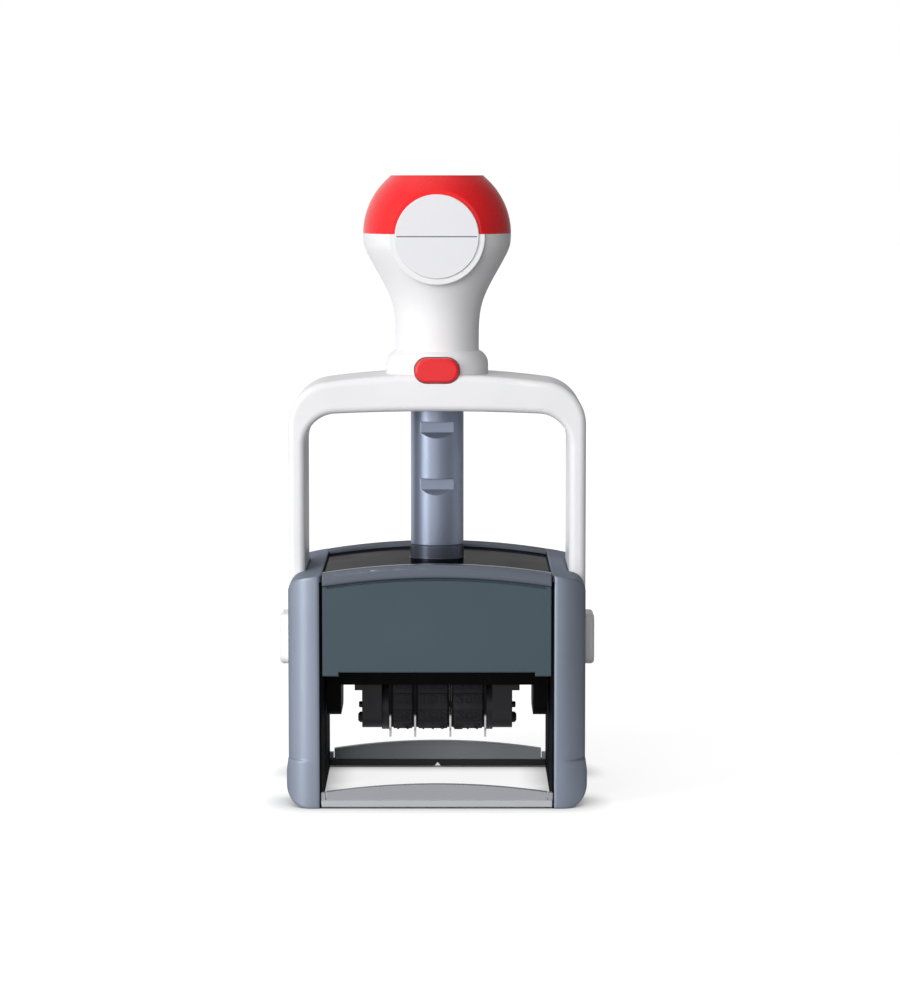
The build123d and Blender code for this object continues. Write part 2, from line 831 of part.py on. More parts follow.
def spring_guide():
    """Rod that hangs from the guide tube's lid, inside the spring."""
    rod = rod_z(guide_radius, guide_bottom, grip_tube_top - guide_head + merge)
    rod = chamfer(rod.edges().group_by(Axis.Z)[0], guide_tip)
    rod += rod_z(guide_head_radius, grip_tube_top - guide_head, grip_tube_top)
    return rod - rod_z(screw_radius, grip_tube_top + grip_tube_lid - screw_length, knob_top)


def guide_screw():
    """Screw through the lid of the guide tube into the spring guide."""
    seat = grip_tube_top + grip_tube_lid
    head = rod_z(screw_head_radius, seat, seat + screw_head)
    head = fillet(head.edges().group_by(Axis.Z)[-1], screw_head_edge)
    head -= cross_slot(screw_slot, seat + screw_head - screw_slot[2], knob_top)
    tip = seat - screw_length + screw_end_gap
    return head + rod_z(screw_radius - press_clearance, tip, seat + merge)


def return_spring():
    """Compression spring between the column's floor and the guide's head."""
    low = column_floor + spring_seat + wire_radius
    high = grip_tube_top - guide_head - spring_seat - wire_radius
    coil = Helix(pitch=(high - low) / spring_turns, height=high - low, radius=spring_radius)
    coil = Pos(0, 0, low) * coil
    start = Plane(origin=coil @ 0, z_dir=coil % 0)
    return sweep(start * Circle(wire_radius), path=coil, is_frenet=True)


# ---- lock button ----


def lock_button():
    """Oval button in the front of the collar."""
    outline = Pos(0, button_z) * SlotOverall(button_width, button_height)
    button = along_y(outline, -button_front, -button_back)
    return fillet(button.edges().group_by(Axis.Y)[0], button_rounding)


def latch_plate():
    """Tongue behind the button that enters the column's notches."""
    return block(
        (-latch_half_width, latch_half_width),
        (-button_back, -latch_tip),
        (latch_z - latch_height / 2, latch_z + latch_height / 2),
    )


# ---- print block ----


def cheek_screw_places():
    """Y and Z of each cheek screw."""
    levels = [block_top - cheek_screw_drop[0], block_top - cheek_screw_drop[1]]
    return [(y, z) for y in (-cheek_screw_spread, cheek_screw_spread) for z in levels]


def block_cheek():
    """Right side plate, with the axle bore and the seat of the follower pin."""
    outline = rectangle(
        (-block_half_depth, block_half_depth), (cheek_bottom, print_z - cheek_top_drop)
    )
    outline = fillet(outline.vertices(), cheek_corner)
    cheek = along_x(outline, cheek_inner, cheek_outer)
    inside, outside = cheek_inner - past, cheek_outer + past
    cheek -= rod_x(axle_radius + running_clearance, inside, outside, 0, axle_z)
    seat = cheek_inner + cam_pin_root - merge
    cheek -= rod_x(follower_radius + press_clearance, seat, outside, 0, axle_z + follower_reach)
    for y, z in cheek_screw_places():
        cheek -= rod_x(cheek_screw_radius + seat_gap, inside, cheek_outer, y, z)
        seat = cheek_outer - cheek_screw_head - cheek_screw_sink
        cheek -= rod_x(cheek_screw_head_radius + merge, seat, outside, y, z)
    return cheek


def cam_pin():
    """Right follower pin, from the cheek into the cam slot."""
    low, high = cheek_inner + cam_pin_root, channel_floor - guide_gap
    return rod_x(follower_radius, low, high, 0, axle_z + follower_reach)


def cheek_screws():
    """Screws that join the cheeks to the block frame, as separate solids."""
    screws = []
    for y, z in cheek_screw_places():
        top = cheek_outer - cheek_screw_sink
        seat = top - cheek_screw_head
        screw = rod_x(cheek_screw_head_radius, seat, top, y, z)
        length, width, depth = cheek_screw_slot
        screw -= block((top - depth, top + past), (y - length, y + length), (z - width, z + width))
        tip = cheek_inner - cheek_screw_depth
        screw += rod_x(cheek_screw_radius, tip, seat + merge, y, z)
        screws += [screw, other_side(screw)]
    return Compound(children=screws)


def block_frame():
    """Four-walled body between the cheeks, open above and below for the band unit."""
    window_x = end_outer + sliding_gap
    window_y = block_half_depth - block_wall
    x, y = (-cheek_inner, cheek_inner), (-block_half_depth, block_half_depth)
    frame = block(x, y, (block_bottom, block_top))
    through = (block_bottom - past, block_top + past)
    frame -= block((-window_x, window_x), (-window_y, window_y), through)
    depth = cheek_inner - cheek_screw_depth - guide_gap
    for y, z in cheek_screw_places():
        hole = rod_x(cheek_screw_radius + press_clearance, depth, cheek_inner + past, y, z)
        frame -= hole
        frame -= other_side(hole)
    return frame


def type_window(extra=0.0):
    """Plan of the window that the printing type comes through."""
    beside = divider_gaps + window_gap + extra
    low, high = band_spans()[0][0] - beside, band_spans()[-1][1] + beside
    half = band_nose_radius + band_thickness + type_relief + window_clearance + extra
    return rectangle((low, high), (-half, half))


def die_plan():
    half = cheek_inner - die_gap
    return rectangle((-half, half), (-die_half_depth, die_half_depth))


def die_plate():
    """Flat carrier of the die, on top of the block frame."""
    return along_z(die_plan() - type_window(), block_top, die_plate_top)


def text_die():
    """Rubber die: a bare field with a raised border round it and round the window."""
    field = along_z(die_plan() - type_window(), die_plate_top, print_z - die_relief)
    inset = cheek_inner - die_gap - die_border
    edge = die_half_depth - die_border
    outer_border = die_plan() - rectangle((-inset, inset), (-edge, edge))
    inner_border = type_window(die_border) - type_window()
    return field + along_z(outer_border + inner_border, print_z - die_relief - merge, print_z)


def band_spans():
    """Lowest and highest X of each band, with a divider between them."""
    low, high = -end_inner + band_insets[0], end_inner - band_insets[1]
    rubber = high - low - divider_gaps * (len(band_shares) - 1)
    spans = []
    for share in band_shares:
        spans.append((low, low + share * rubber))
        low = spans[-1][1] + divider_gaps
    return spans


def band_outline(extra):
    """Loop round the nose and the wheel, at this distance outside the band's inner face."""
    nose = Pos(0, nose_z) * Circle(band_nose_radius + extra)
    wheel = Pos(0, wheel_z) * Circle(band_wheel_radius + extra)
    return make_hull([*nose.edges(), *wheel.edges()])


def type_blocks():
    """Raised type round the band: one in print, and a row down each run."""
    outer = band_wheel_radius + band_thickness
    span = nose_z - wheel_z
    lean = asin((band_wheel_radius - band_nose_radius) / span)
    blocks = [Pos(0, print_z - type_relief) * Rectangle(type_height, 2 * type_relief)]
    count = int(span * cos(lean) / type_pitch)
    for side in (-1, 1):
        for i in range(count):
            along = type_pitch * (i + 0.5)
            y = side * (outer * cos(lean) - along * sin(lean))
            z = wheel_z + outer * sin(lean) + along * cos(lean)
            tilt = side * degrees(lean)
            blocks.append(Pos(y, z) * Rot(0, 0, tilt) * Rectangle(2 * type_relief, type_height))
    for turn in type_turns:
        place = Pos(0, wheel_z) * Rot(0, 0, turn) * Pos(0, -outer)
        blocks.append(place * Rectangle(type_height, 2 * type_relief))
    return blocks


def number_band(low, high):
    """Rubber band with raised type, round the nose and its setting wheel."""
    loop = band_outline(band_thickness) - band_outline(0)
    band = along_x(loop, low, high)
    for raised in type_blocks():
        band += along_x(raised - band_outline(merge), low + type_inset, high - type_inset)
    return band


def setting_wheel(low, high):
    """Fluted wheel inside a band, on the wheel shaft."""
    rim = band_wheel_radius - sliding_gap
    disc = Circle(rim) - Circle(shaft_radius + running_clearance)
    for i in range(wheel_teeth):
        disc -= Rot(0, 0, 360 * i / wheel_teeth) * Pos(rim, 0) * Circle(tooth_groove)
    return along_x(Pos(0, wheel_z) * disc, low + wheel_side_gap, high - wheel_side_gap)


def divider_places():
    """Middle of each divider plate in X: outside and between the bands."""
    half = divider_gap + divider_thickness / 2
    spans = band_spans()
    places = [spans[0][0] - half]
    for left, right in zip(spans, spans[1:]):
        places.append((left[1] + right[0]) / 2)
    return places + [spans[-1][1] + half]


def nose_bar_bottom():
    return nose_z - nose_depth


def band_divider(middle):
    """Thin steel plate between two bands, on the wheel shaft."""
    half, thick = divider_half_depth, divider_thickness / 2
    plate = rectangle((-half, half), (divider_bottom, nose_bar_bottom() - guide_gap))
    plate = fillet(plate.vertices().group_by(Axis.Y)[0], divider_corner)
    plate -= Pos(0, wheel_z) * Circle(shaft_radius + seat_gap)
    return along_x(plate, middle - thick, middle + thick)


def nose_tongue(extra=0.0):
    """Section of the nose's ends, which lie in the end blocks."""
    half = band_nose_radius - nose_gap + extra
    low, high = nose_bar_bottom() - extra, block_top - end_top_drop + 2 * extra
    return rectangle((-half, half), (low, high - nose_gap))


def band_nose():
    """Bar behind the printing type, with a tongue at each end for the end blocks."""
    half = band_nose_radius - nose_gap
    section = Pos(0, nose_z) * Circle(half)
    section += rectangle((-half, half), (nose_bar_bottom(), nose_z))
    bar = along_x(section, band_spans()[0][0] - divider_gap, band_spans()[-1][1] + divider_gap)
    reach = end_inner + nose_tongue_length
    return bar + along_x(nose_tongue(), -reach, reach)


def band_end(side):
    """End block of the band unit: flange, inner collar, boss and the seats it carries."""
    depth = (-end_half_depth, end_half_depth)
    outline = rectangle(depth, (end_bottom, block_top - end_top_drop))
    outline = fillet(outline.vertices().group_by(Axis.Y)[0], end_corner)
    body = along_x(outline, end_inner, end_outer)
    flange = rectangle(depth, (block_bottom - flange_thickness, block_bottom))
    body += along_x(flange, end_outer - past, end_outer + flange_reach)
    places = divider_places()
    nearest = places[-1] if side > 0 else -places[0]
    low = nearest + divider_thickness / 2 + seat_gap
    reach = band_wheel_radius + band_thickness + type_relief
    body += rod_x(reach, low, end_inner + merge, 0, wheel_z)
    boss = rod_x(boss_radius, end_outer - merge, end_outer + boss_reach, 0, boss_z)
    body += chamfer(boss.edges().group_by(Axis.X)[-1], boss_chamfer)
    body -= rod_x(shaft_radius + press_clearance, 0, end_outer + past, 0, wheel_z)
    seat = end_inner + nose_tongue_length + seat_gap
    body -= along_x(nose_tongue(seat_gap), end_inner - past, seat)
    return body if side > 0 else other_side(body)


def wheel_shaft():
    """Steel shaft of the setting wheels, through both end blocks."""
    reach = end_outer + shaft_overhang
    shaft = rod_x(shaft_radius, -reach, reach, 0, wheel_z)
    ends = shaft.edges().group_by(Axis.X)
    return chamfer(ends[0] + ends[-1], shaft_chamfer)


def save(name, part):
    part.label = name
    export_step(part, f"parts/{name}.step")


def save_pair(name, right):
    """Write a right-hand piece and its mirrored left-hand twin."""
    save(f"{name}_right", right)
    save(f"{name}_left", other_side(right))


save_pair("side_frame", side_frame())
save("front_base_bar", base_bar(-1))
save("rear_base_bar", base_bar(1))
save("top_cover", top_cover())
save("rear_panel", rear_panel())
save("rear_screws", rear_screws())
save("centre_column", centre_column())
save("column_nut", column_nut())
save_pair("drawer_rail", drawer_rail())
save("drawer_front", drawer_front())
save("pad_tray", pad_tray())
save("ink_pad", ink_pad())
save("yoke", yoke())
save_pair("axle_pin", axle_pin())
save_pair("pivot_cap", pivot_cap())
save("handle_grip", handle_grip())
save("knob_cap", knob_cap())
save("label_disc", label_disc())
save("spring_guide", spring_guide())
save("guide_screw", guide_screw())
save("return_spring", return_spring())
save("lock_button", lock_button())
save("latch_plate", latch_plate())
save_pair("block_cheek", block_cheek())
save_pair("cam_pin", cam_pin())
save("cheek_screws", cheek_screws())
save("block_frame", block_frame())
save("die_plate", die_plate())
save("text_die", text_die())
for number, (band_low, band_high) in enumerate(band_spans(), 1):
    save(f"number_band_{number}", number_band(band_low, band_high))
    save(f"setting_wheel_{number}", setting_wheel(band_low, band_high))
for number, place in enumerate(divider_places(), 1):
    save(f"band_divider_{number}", band_divider(place))
save("band_nose", band_nose())
save("band_end_right", band_end(1))
save("band_end_left", band_end(-1))
save("wheel_shaft", wheel_shaft())
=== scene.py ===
import json
import math

import bmesh
import bpy
from mathutils import Matrix, Vector


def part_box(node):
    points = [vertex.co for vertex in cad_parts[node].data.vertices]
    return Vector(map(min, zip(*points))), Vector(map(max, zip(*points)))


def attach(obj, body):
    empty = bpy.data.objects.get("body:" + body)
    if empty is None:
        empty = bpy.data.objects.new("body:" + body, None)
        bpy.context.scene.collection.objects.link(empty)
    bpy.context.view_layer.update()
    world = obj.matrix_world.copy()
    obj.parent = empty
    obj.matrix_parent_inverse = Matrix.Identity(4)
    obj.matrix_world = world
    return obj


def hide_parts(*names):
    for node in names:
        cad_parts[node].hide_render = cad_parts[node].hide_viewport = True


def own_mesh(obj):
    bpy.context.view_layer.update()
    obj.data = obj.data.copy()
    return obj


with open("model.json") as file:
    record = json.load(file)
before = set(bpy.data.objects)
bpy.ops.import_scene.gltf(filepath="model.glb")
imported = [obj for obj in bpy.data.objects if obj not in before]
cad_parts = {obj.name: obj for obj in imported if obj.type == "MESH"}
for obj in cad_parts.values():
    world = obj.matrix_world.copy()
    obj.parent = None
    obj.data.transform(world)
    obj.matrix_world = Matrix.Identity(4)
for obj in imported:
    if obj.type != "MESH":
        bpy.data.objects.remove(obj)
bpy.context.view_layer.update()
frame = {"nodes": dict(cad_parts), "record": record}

bl_info = {
    "name": "Self-inking Band Stamp",
    "version": (1, 0, 0),
    "blender": (4, 5, 0),
    "location": "View3D > Sidebar > Stamp",
    "description": "Finishes and stages a self-inking desk stamp with number bands",
    "category": "Object",
}

MM = 0.001
BLUR = 0.05 * MM  # half of the soft border round a patch
RUBBED = 1.35  # how much lighter a worn edge is
DUST = (0.55, 0.54, 0.52, 1.0)

# ---- shader helpers ----


def add(tree, kind, feeds=None, **settings):
    """Add a shader node, set it up and feed its inputs with values or sockets."""
    node = tree.nodes.new("ShaderNode" + kind)
    for name, value in settings.items():
        setattr(node, name, value)
    fill(tree, node, feeds or {})
    return node


def fill(tree, node, feeds):
    """Give a node's inputs their values or links."""
    for name, value in feeds.items():
        if isinstance(value, bpy.types.NodeSocket):
            tree.links.new(value, node.inputs[name])
        else:
            node.inputs[name].default_value = value


def spaced(names):
    """Socket names as the nodes write them."""
    return {name.replace("_", " "): value for name, value in names.items()}


def sums(tree, operation, *values):
    """Result of a Math node."""
    feeds = dict(enumerate(values))
    return add(tree, "Math", feeds, operation=operation).outputs[0]


def spread(tree, value, low, high, to_low=0.0, to_high=1.0):
    """Value mapped from one range to another, clamped."""
    feeds = {"Value": value, "From Min": low, "From Max": high, "To Min": to_low, "To Max": to_high}
    return add(tree, "MapRange", feeds).outputs[0]


def mixed(tree, share, first, second, blend="MIX"):
    """Two colours mixed by a share."""
    feeds = {0: share, 6: first, 7: second}
    node = add(tree, "Mix", feeds, data_type="RGBA", blend_type=blend, clamp_factor=True)
    return node.outputs[2]


def noise(tree, place, scale, detail=2.0, rough=0.5):
    """Smooth random pattern, between 0 and 1."""
    feeds = {"Vector": place, "Scale": scale, "Detail": detail, "Roughness": rough}
    return add(tree, "TexNoise", feeds).outputs[0]


def stretched(tree, place, scale):
    """Coordinates scaled differently along each axis."""
    return add(tree, "Mapping", {"Vector": place, "Scale": scale}).outputs[0]


def opened(tree):
    """A material's own Object coordinates."""
    return add(tree, "TexCoord").outputs["Object"]


def raised(tree, strength, distance, height, normal=None):
    """Normal of a surface with this height pattern."""
    feeds = {"Strength": strength, "Distance": distance, "Height": height}
    if normal:
        feeds["Normal"] = normal
    return add(tree, "Bump", feeds).outputs[0]


def shader_group(name, inputs, outputs):
    """New node group with named sockets; gives the tree, its input node and its output node."""
    group = bpy.data.node_groups.new(name, "ShaderNodeTree")
    for label, kind, default in inputs:
        socket = group.interface.new_socket(label, in_out="INPUT", socket_type="NodeSocket" + kind)
        if default is not None:
            socket.default_value = default
    for label, kind in outputs:
        group.interface.new_socket(label, in_out="OUTPUT", socket_type="NodeSocket" + kind)
    return group, group.nodes.new("NodeGroupInput"), group.nodes.new("NodeGroupOutput")


def give(group, out, **results):
    """Link results to a group's output sockets."""
    fill(group, out, spaced(results))


def use(tree, name, **feeds):
    """Place a node group in a material with its own values."""
    node = tree.nodes.new("ShaderNodeGroup")
    node.node_tree = bpy.data.node_groups[name]
    fill(tree, node, spaced(feeds))
    return node


# ---- shared effects ----


def soft_edge_group():
    """Rounded look of an edge, and a mask of where the edges are."""
    group, given, out = shader_group(
        "Soft Edge", [("Radius", "Float", 0.3 * MM)], [("Normal", "Vector"), ("Edge", "Float")]
    )
    rounded = add(group, "Bevel", {"Radius": given.outputs["Radius"]}, samples=6).outputs[0]
    flat = add(group, "NewGeometry").outputs["Normal"]
    alike = add(group, "VectorMath", {0: rounded, 1: flat}, operation="DOT_PRODUCT").outputs["Value"]
    edge = spread(group, sums(group, "SUBTRACT", 1.0, alike), 0.01, 0.2)
    give(group, out, Normal=rounded, Edge=edge)


def moulded_skin_group():
    """Fine texture of a moulded surface, with slow unevenness and colour tone."""
    group, given, out = shader_group(
        "Moulded Skin",
        [("Place", "Vector", None), ("Grain", "Float", 2600.0), ("Swirl", "Float", 45.0)],
        [("Height", "Float"), ("Tone", "Float")],
    )
    place = given.outputs["Place"]
    grain = noise(group, place, given.outputs["Grain"], detail=3.0, rough=0.6)
    swirl = noise(group, place, given.outputs["Swirl"], detail=3.0)
    height = sums(group, "MULTIPLY_ADD", grain, 0.35, swirl)
    give(group, out, Height=height, Tone=spread(group, swirl, 0.3, 0.7))


def handled_gloss_group():
    """Roughness that varies where a surface is wiped and touched."""
    group, given, out = shader_group(
        "Handled Gloss",
        [("Place", "Vector", None), ("Smooth", "Float", 0.3), ("Dull", "Float", 0.4), ("Size", "Float", 90.0)],
        [("Roughness", "Float")],
    )
    place = given.outputs["Place"]
    drawn_out = stretched(group, place, (1.0, 1.0, 0.35))
    wipes = noise(group, drawn_out, given.outputs["Size"], detail=5.0, rough=0.65)
    share = spread(group, wipes, 0.35, 0.68)
    low, high = given.outputs["Smooth"], given.outputs["Dull"]
    rise = sums(group, "SUBTRACT", high, low)
    give(group, out, Roughness=sums(group, "MULTIPLY_ADD", share, rise, low))


def settled_dust_group():
    """Thin dust that lies on surfaces that face up."""
    group, given, out = shader_group(
        "Settled Dust",
        [("Place", "Vector", None), ("Amount", "Float", 0.3)],
        [("Mask", "Float"), ("Facing Up", "Float")],
    )
    facing = add(group, "TexCoord").outputs["Normal"]
    up = add(group, "SeparateXYZ", {0: facing}).outputs[2]
    specks = noise(group, given.outputs["Place"], scale=900.0, detail=6.0, rough=0.75)
    film = noise(group, given.outputs["Place"], scale=120.0, detail=3.0)
    level = spread(group, up, 0.55, 0.98)
    lying = sums(group, "MULTIPLY", level, spread(group, specks, 0.42, 0.72))
    patchy = sums(group, "MULTIPLY", lying, spread(group, film, 0.3, 0.7, 0.4, 1.0))
    give(group, out, Mask=sums(group, "MULTIPLY", patchy, given.outputs["Amount"]), Facing_Up=level)


def drawn_metal_group():
    """Fine lines left by drawing or rolling, along one axis."""
    group, given, out = shader_group(
        "Drawn Metal",
        [("Place", "Vector", None), ("Lines", "Vector", (3000.0, 3000.0, 90.0))],
        [("Height", "Float"), ("Tone", "Float")],
    )
    feeds = {0: given.outputs["Place"], 1: given.outputs["Lines"]}
    scaled = add(group, "VectorMath", feeds, operation="MULTIPLY").outputs[0]
    lines = noise(group, scaled, scale=1.0, detail=4.0, rough=0.6)
    give(group, out, Height=lines, Tone=spread(group, lines, 0.3, 0.7))


def ink_trace_group():
    """Patches of dried ink."""
    group, given, out = shader_group(
        "Ink Trace",
        [("Place", "Vector", None), ("Size", "Float", 260.0), ("Cover", "Float", 0.5)],
        [("Mask", "Float")],
    )
    blots = noise(group, given.outputs["Place"], given.outputs["Size"], detail=5.0, rough=0.6)
    edge = sums(group, "SUBTRACT", 1.0, given.outputs["Cover"])
    above = sums(group, "SUBTRACT", blots, sums(group, "MULTIPLY_ADD", edge, 0.5, 0.25))
    give(group, out, Mask=spread(group, above, -0.05, 0.05))


def cloth_weave_group():
    """Plain weave of the cloth over the felt."""
    group, given, out = shader_group(
        "Cloth Weave",
        [("Place", "Vector", None), ("Threads", "Float", 2200.0)],
        [("Height", "Float"), ("Tone", "Float")],
    )
    threads = sums(group, "MULTIPLY", given.outputs["Threads"], math.pi)
    parts = add(group, "SeparateXYZ", {0: given.outputs["Place"]})
    warp = sums(group, "SINE", sums(group, "MULTIPLY", parts.outputs[0], threads))
    weft = sums(group, "SINE", sums(group, "MULTIPLY", parts.outputs[1], threads))
    cross = sums(group, "MULTIPLY", warp, weft)
    fuzz = noise(group, given.outputs["Place"], scale=3000.0, detail=3.0, rough=0.7)
    height = sums(group, "MULTIPLY_ADD", fuzz, 0.6, sums(group, "ABSOLUTE", cross))
    tone = noise(group, given.outputs["Place"], scale=160.0, detail=4.0, rough=0.6)
    give(group, out, Height=height, Tone=tone)


GROUPS = (
    soft_edge_group,
    moulded_skin_group,
    handled_gloss_group,
    settled_dust_group,
    drawn_metal_group,
    ink_trace_group,
    cloth_weave_group,
)


# ---- materials ----


def new_material(name, **constants):
    """Material with one Principled shader; constants go on the shader's own sockets."""
    material = bpy.data.materials.new(name)
    material.use_nodes = True
    tree = material.node_tree
    shader = tree.nodes["Principled BSDF"]
    fill(tree, shader, spaced(constants))
    return material, tree, shader


def feed(tree, shader, **sockets):
    """Link sockets to the shader's inputs."""
    fill(tree, shader, spaced(sockets))


def shade(colour, factor):
    """Colour made darker or lighter, with full alpha."""
    return tuple(min(1.0, channel * factor) for channel in colour[:3]) + (1.0,)


def moulded_plastic(
    name,
    colour,
    finish,
    smooth,
    dull,
    specular=0.5,
    patches=(),
    dull_top=None,
    soft=1.0,
    glancing=None,
    **constants,
):
    """Injection-moulded plastic with soft edges, faint swirl, wiped gloss and dust.

    Each patch is a mask, made by its function, that has its own colour, roughness and metal.
    Surfaces that face up may be duller than the rest. The edges' rounding is multiplied by soft.
    Glancing is the metal where the surface is seen almost edge on, which keeps a dark gloss dark there.
    """
    material, tree, shader = new_material(name, Specular_IOR_Level=specular, **constants)
    place = opened(tree)
    skin = use(tree, "Moulded Skin", Place=place)
    edge = use(tree, "Soft Edge", Radius=finish.edge_radius * soft)
    gloss = use(tree, "Handled Gloss", Place=place, Smooth=smooth, Dull=dull)
    dust = use(tree, "Settled Dust", Place=place, Amount=finish.dust)
    toned = mixed(tree, skin.outputs["Tone"], shade(colour, 0.97), shade(colour, 1.03))
    rubbed = sums(tree, "MULTIPLY", edge.outputs["Edge"], finish.edge_wear)
    worn = mixed(tree, rubbed, toned, shade(colour, RUBBED))
    dusty = mixed(tree, dust.outputs["Mask"], worn, DUST)
    rough = gloss.outputs["Roughness"]
    if dull_top:
        rough = add(tree, "Mix", {0: dust.outputs["Facing Up"], 2: rough, 3: dull_top}).outputs[0]
    metal = constants.get("Metallic", 0.0)
    if glancing:
        turned_away = add(tree, "LayerWeight", {"Blend": 0.5}).outputs["Facing"]
        metal = spread(tree, turned_away, 0.8, 0.86, metal, glancing)
    for find, patch_colour, patch_rough, patch_metal in patches:
        mask = find(tree, place)
        dusty = mixed(tree, mask, dusty, shade(patch_colour, 1.0))
        rough = add(tree, "Mix", {0: mask, 2: rough, 3: patch_rough}).outputs[0]
        metal = add(tree, "Mix", {0: mask, 2: metal, 3: patch_metal}).outputs[0]
    if patches or glancing:
        feed(tree, shader, Metallic=metal)
    height, normal = skin.outputs["Height"], edge.outputs["Normal"]
    bump = raised(tree, finish.skin_strength, finish.skin_depth, height, normal)
    feed(tree, shader, Base_Color=dusty, Roughness=rough, Normal=bump)
    return material


def zone(x=None, y=None, z=None):
    """Patch mask: surfaces between these limits along the axes."""

    def find(tree, place):
        parts = add(tree, "SeparateXYZ", {0: place})
        mask = 1.0
        for along, limits in zip(parts.outputs, (x, y, z)):
            if limits:
                middle, half = sum(limits) / 2, (limits[1] - limits[0]) / 2
                away = sums(tree, "ABSOLUTE", sums(tree, "SUBTRACT", along, middle))
                inside = spread(tree, away, half - BLUR, half + BLUR, 1.0, 0.0)
                mask = sums(tree, "MULTIPLY", inside, mask)
        return mask

    return find


def above_arch(height, radius):
    """Patch mask: surfaces above an arch of this height and radius over the middle."""

    def find(tree, place):
        parts = add(tree, "SeparateXYZ", {0: place})
        fall = sums(tree, "MULTIPLY", sums(tree, "POWER", parts.outputs[0], 2.0), 0.5 / radius)
        level = sums(tree, "ADD", parts.outputs[2], fall)
        return spread(tree, level, height - BLUR, height + BLUR)

    return find


def round_axis(radius):
    """Patch mask: surfaces within this radius of the upright axis."""

    def find(tree, place):
        flat = add(tree, "VectorMath", {0: place, 1: (1, 1, 0)}, operation="MULTIPLY").outputs[0]
        away = add(tree, "VectorMath", {0: flat}, operation="LENGTH").outputs["Value"]
        return spread(tree, away, radius - BLUR, radius + BLUR, 1.0, 0.0)

    return find


def label_card(name, colour, rule_colour):
    """Card disc under clear film, bare apart from one fine rule across its middle."""
    material, tree, shader = new_material(name, Specular_IOR_Level=0.45, Coat_Weight=0.35, Coat_Roughness=0.08)
    place = opened(tree)
    low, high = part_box("label_disc")
    middle = (low.z + high.z) / 2
    margin, rule_half = 0.5 * MM, 0.1 * MM
    half = (high.x - low.x) / 2 - margin
    parts = add(tree, "SeparateXYZ", {0: place})
    away = sums(tree, "ABSOLUTE", sums(tree, "SUBTRACT", parts.outputs[2], middle))
    across = sums(tree, "ABSOLUTE", parts.outputs[0])
    line = spread(tree, away, rule_half, 2 * rule_half, 1.0, 0.0)
    inside = spread(tree, across, half, half + 0.1 * MM, 1.0, 0.0)
    printed = sums(tree, "MULTIPLY", line, inside)
    fibres = noise(tree, place, scale=1800.0, detail=4.0, rough=0.7)
    tone = noise(tree, place, scale=70.0)
    card = mixed(tree, tone, shade(colour, 0.97), shade(colour, 1.02))
    ruled = mixed(tree, printed, card, tuple(rule_colour) + (1.0,))
    gloss = use(tree, "Handled Gloss", Place=place, Smooth=0.28, Dull=0.4, Size=140.0)
    bump = raised(tree, 0.15, 0.02 * MM, fibres)
    feed(tree, shader, Base_Color=ruled, Roughness=gloss.outputs["Roughness"], Normal=bump)
    return material


def bright_steel(name, colour, lines, smooth, dull, finish, painted_shade_above=None):
    """Steel with drawing lines and slightly varied polish, with painted shade above a height."""
    material, tree, shader = new_material(name, Metallic=1.0)
    place = opened(tree)
    drawn = use(tree, "Drawn Metal", Place=place, Lines=lines)
    edge = use(tree, "Soft Edge", Radius=finish.edge_radius * 0.4)
    toned = mixed(tree, drawn.outputs["Tone"], shade(colour, 0.86), shade(colour, 1.08))
    if painted_shade_above:
        # Painted shade: above this height the steel turns near black, dull and not metallic.
        fade = 0.4 * MM
        height = add(tree, "SeparateXYZ", {0: place}).outputs[2]
        black = spread(tree, height, painted_shade_above - fade, painted_shade_above + fade)
        toned = mixed(tree, black, toned, shade(colour, 0.01))
        feed(tree, shader, Metallic=sums(tree, "SUBTRACT", 1.0, black))
        smooth = spread(tree, black, 0.0, 1.0, smooth, 0.85)
        dull = spread(tree, black, 0.0, 1.0, dull, 0.95)
    gloss = use(tree, "Handled Gloss", Place=place, Smooth=smooth, Dull=dull, Size=240.0)
    bump = raised(tree, 0.2, 0.02 * MM, drawn.outputs["Height"], edge.outputs["Normal"])
    feed(tree, shader, Base_Color=toned, Roughness=gloss.outputs["Roughness"], Normal=bump)
    return material


def inked_rubber(name, colour, ink, finish, cover, painted_gap_shades=()):
    """Moulded rubber with a dull bloom and dried ink, and painted shade, near black, along the gaps between
    bands at these places across it.
    """
    material, tree, shader = new_material(name, Specular_IOR_Level=0.15)
    place = opened(tree)
    skin = use(tree, "Moulded Skin", Place=place, Grain=4200.0, Swirl=150.0)
    edge = use(tree, "Soft Edge", Radius=finish.edge_radius * 0.5)
    trace = use(tree, "Ink Trace", Place=place, Cover=cover)
    toned = mixed(tree, skin.outputs["Tone"], shade(colour, 0.8), shade(colour, 1.25))
    inked = mixed(tree, sums(tree, "MULTIPLY", trace.outputs["Mask"], 0.7), toned, tuple(ink) + (1.0,))
    # Painted shade: the rubber turns near black in a strip round each gap between bands.
    gap_shade_half = 0.8 * MM
    for gap_middle in painted_gap_shades:
        gap_shade = zone(x=(gap_middle - gap_shade_half, gap_middle + gap_shade_half))(tree, place)
        inked = mixed(tree, gap_shade, inked, shade(colour, 0.1))
    dull = spread(tree, trace.outputs["Mask"], 0.0, 1.0, 0.62, 0.4)
    bump = raised(tree, 0.4, 0.04 * MM, skin.outputs["Height"], edge.outputs["Normal"])
    feed(tree, shader, Base_Color=inked, Roughness=dull, Normal=bump)
    return material


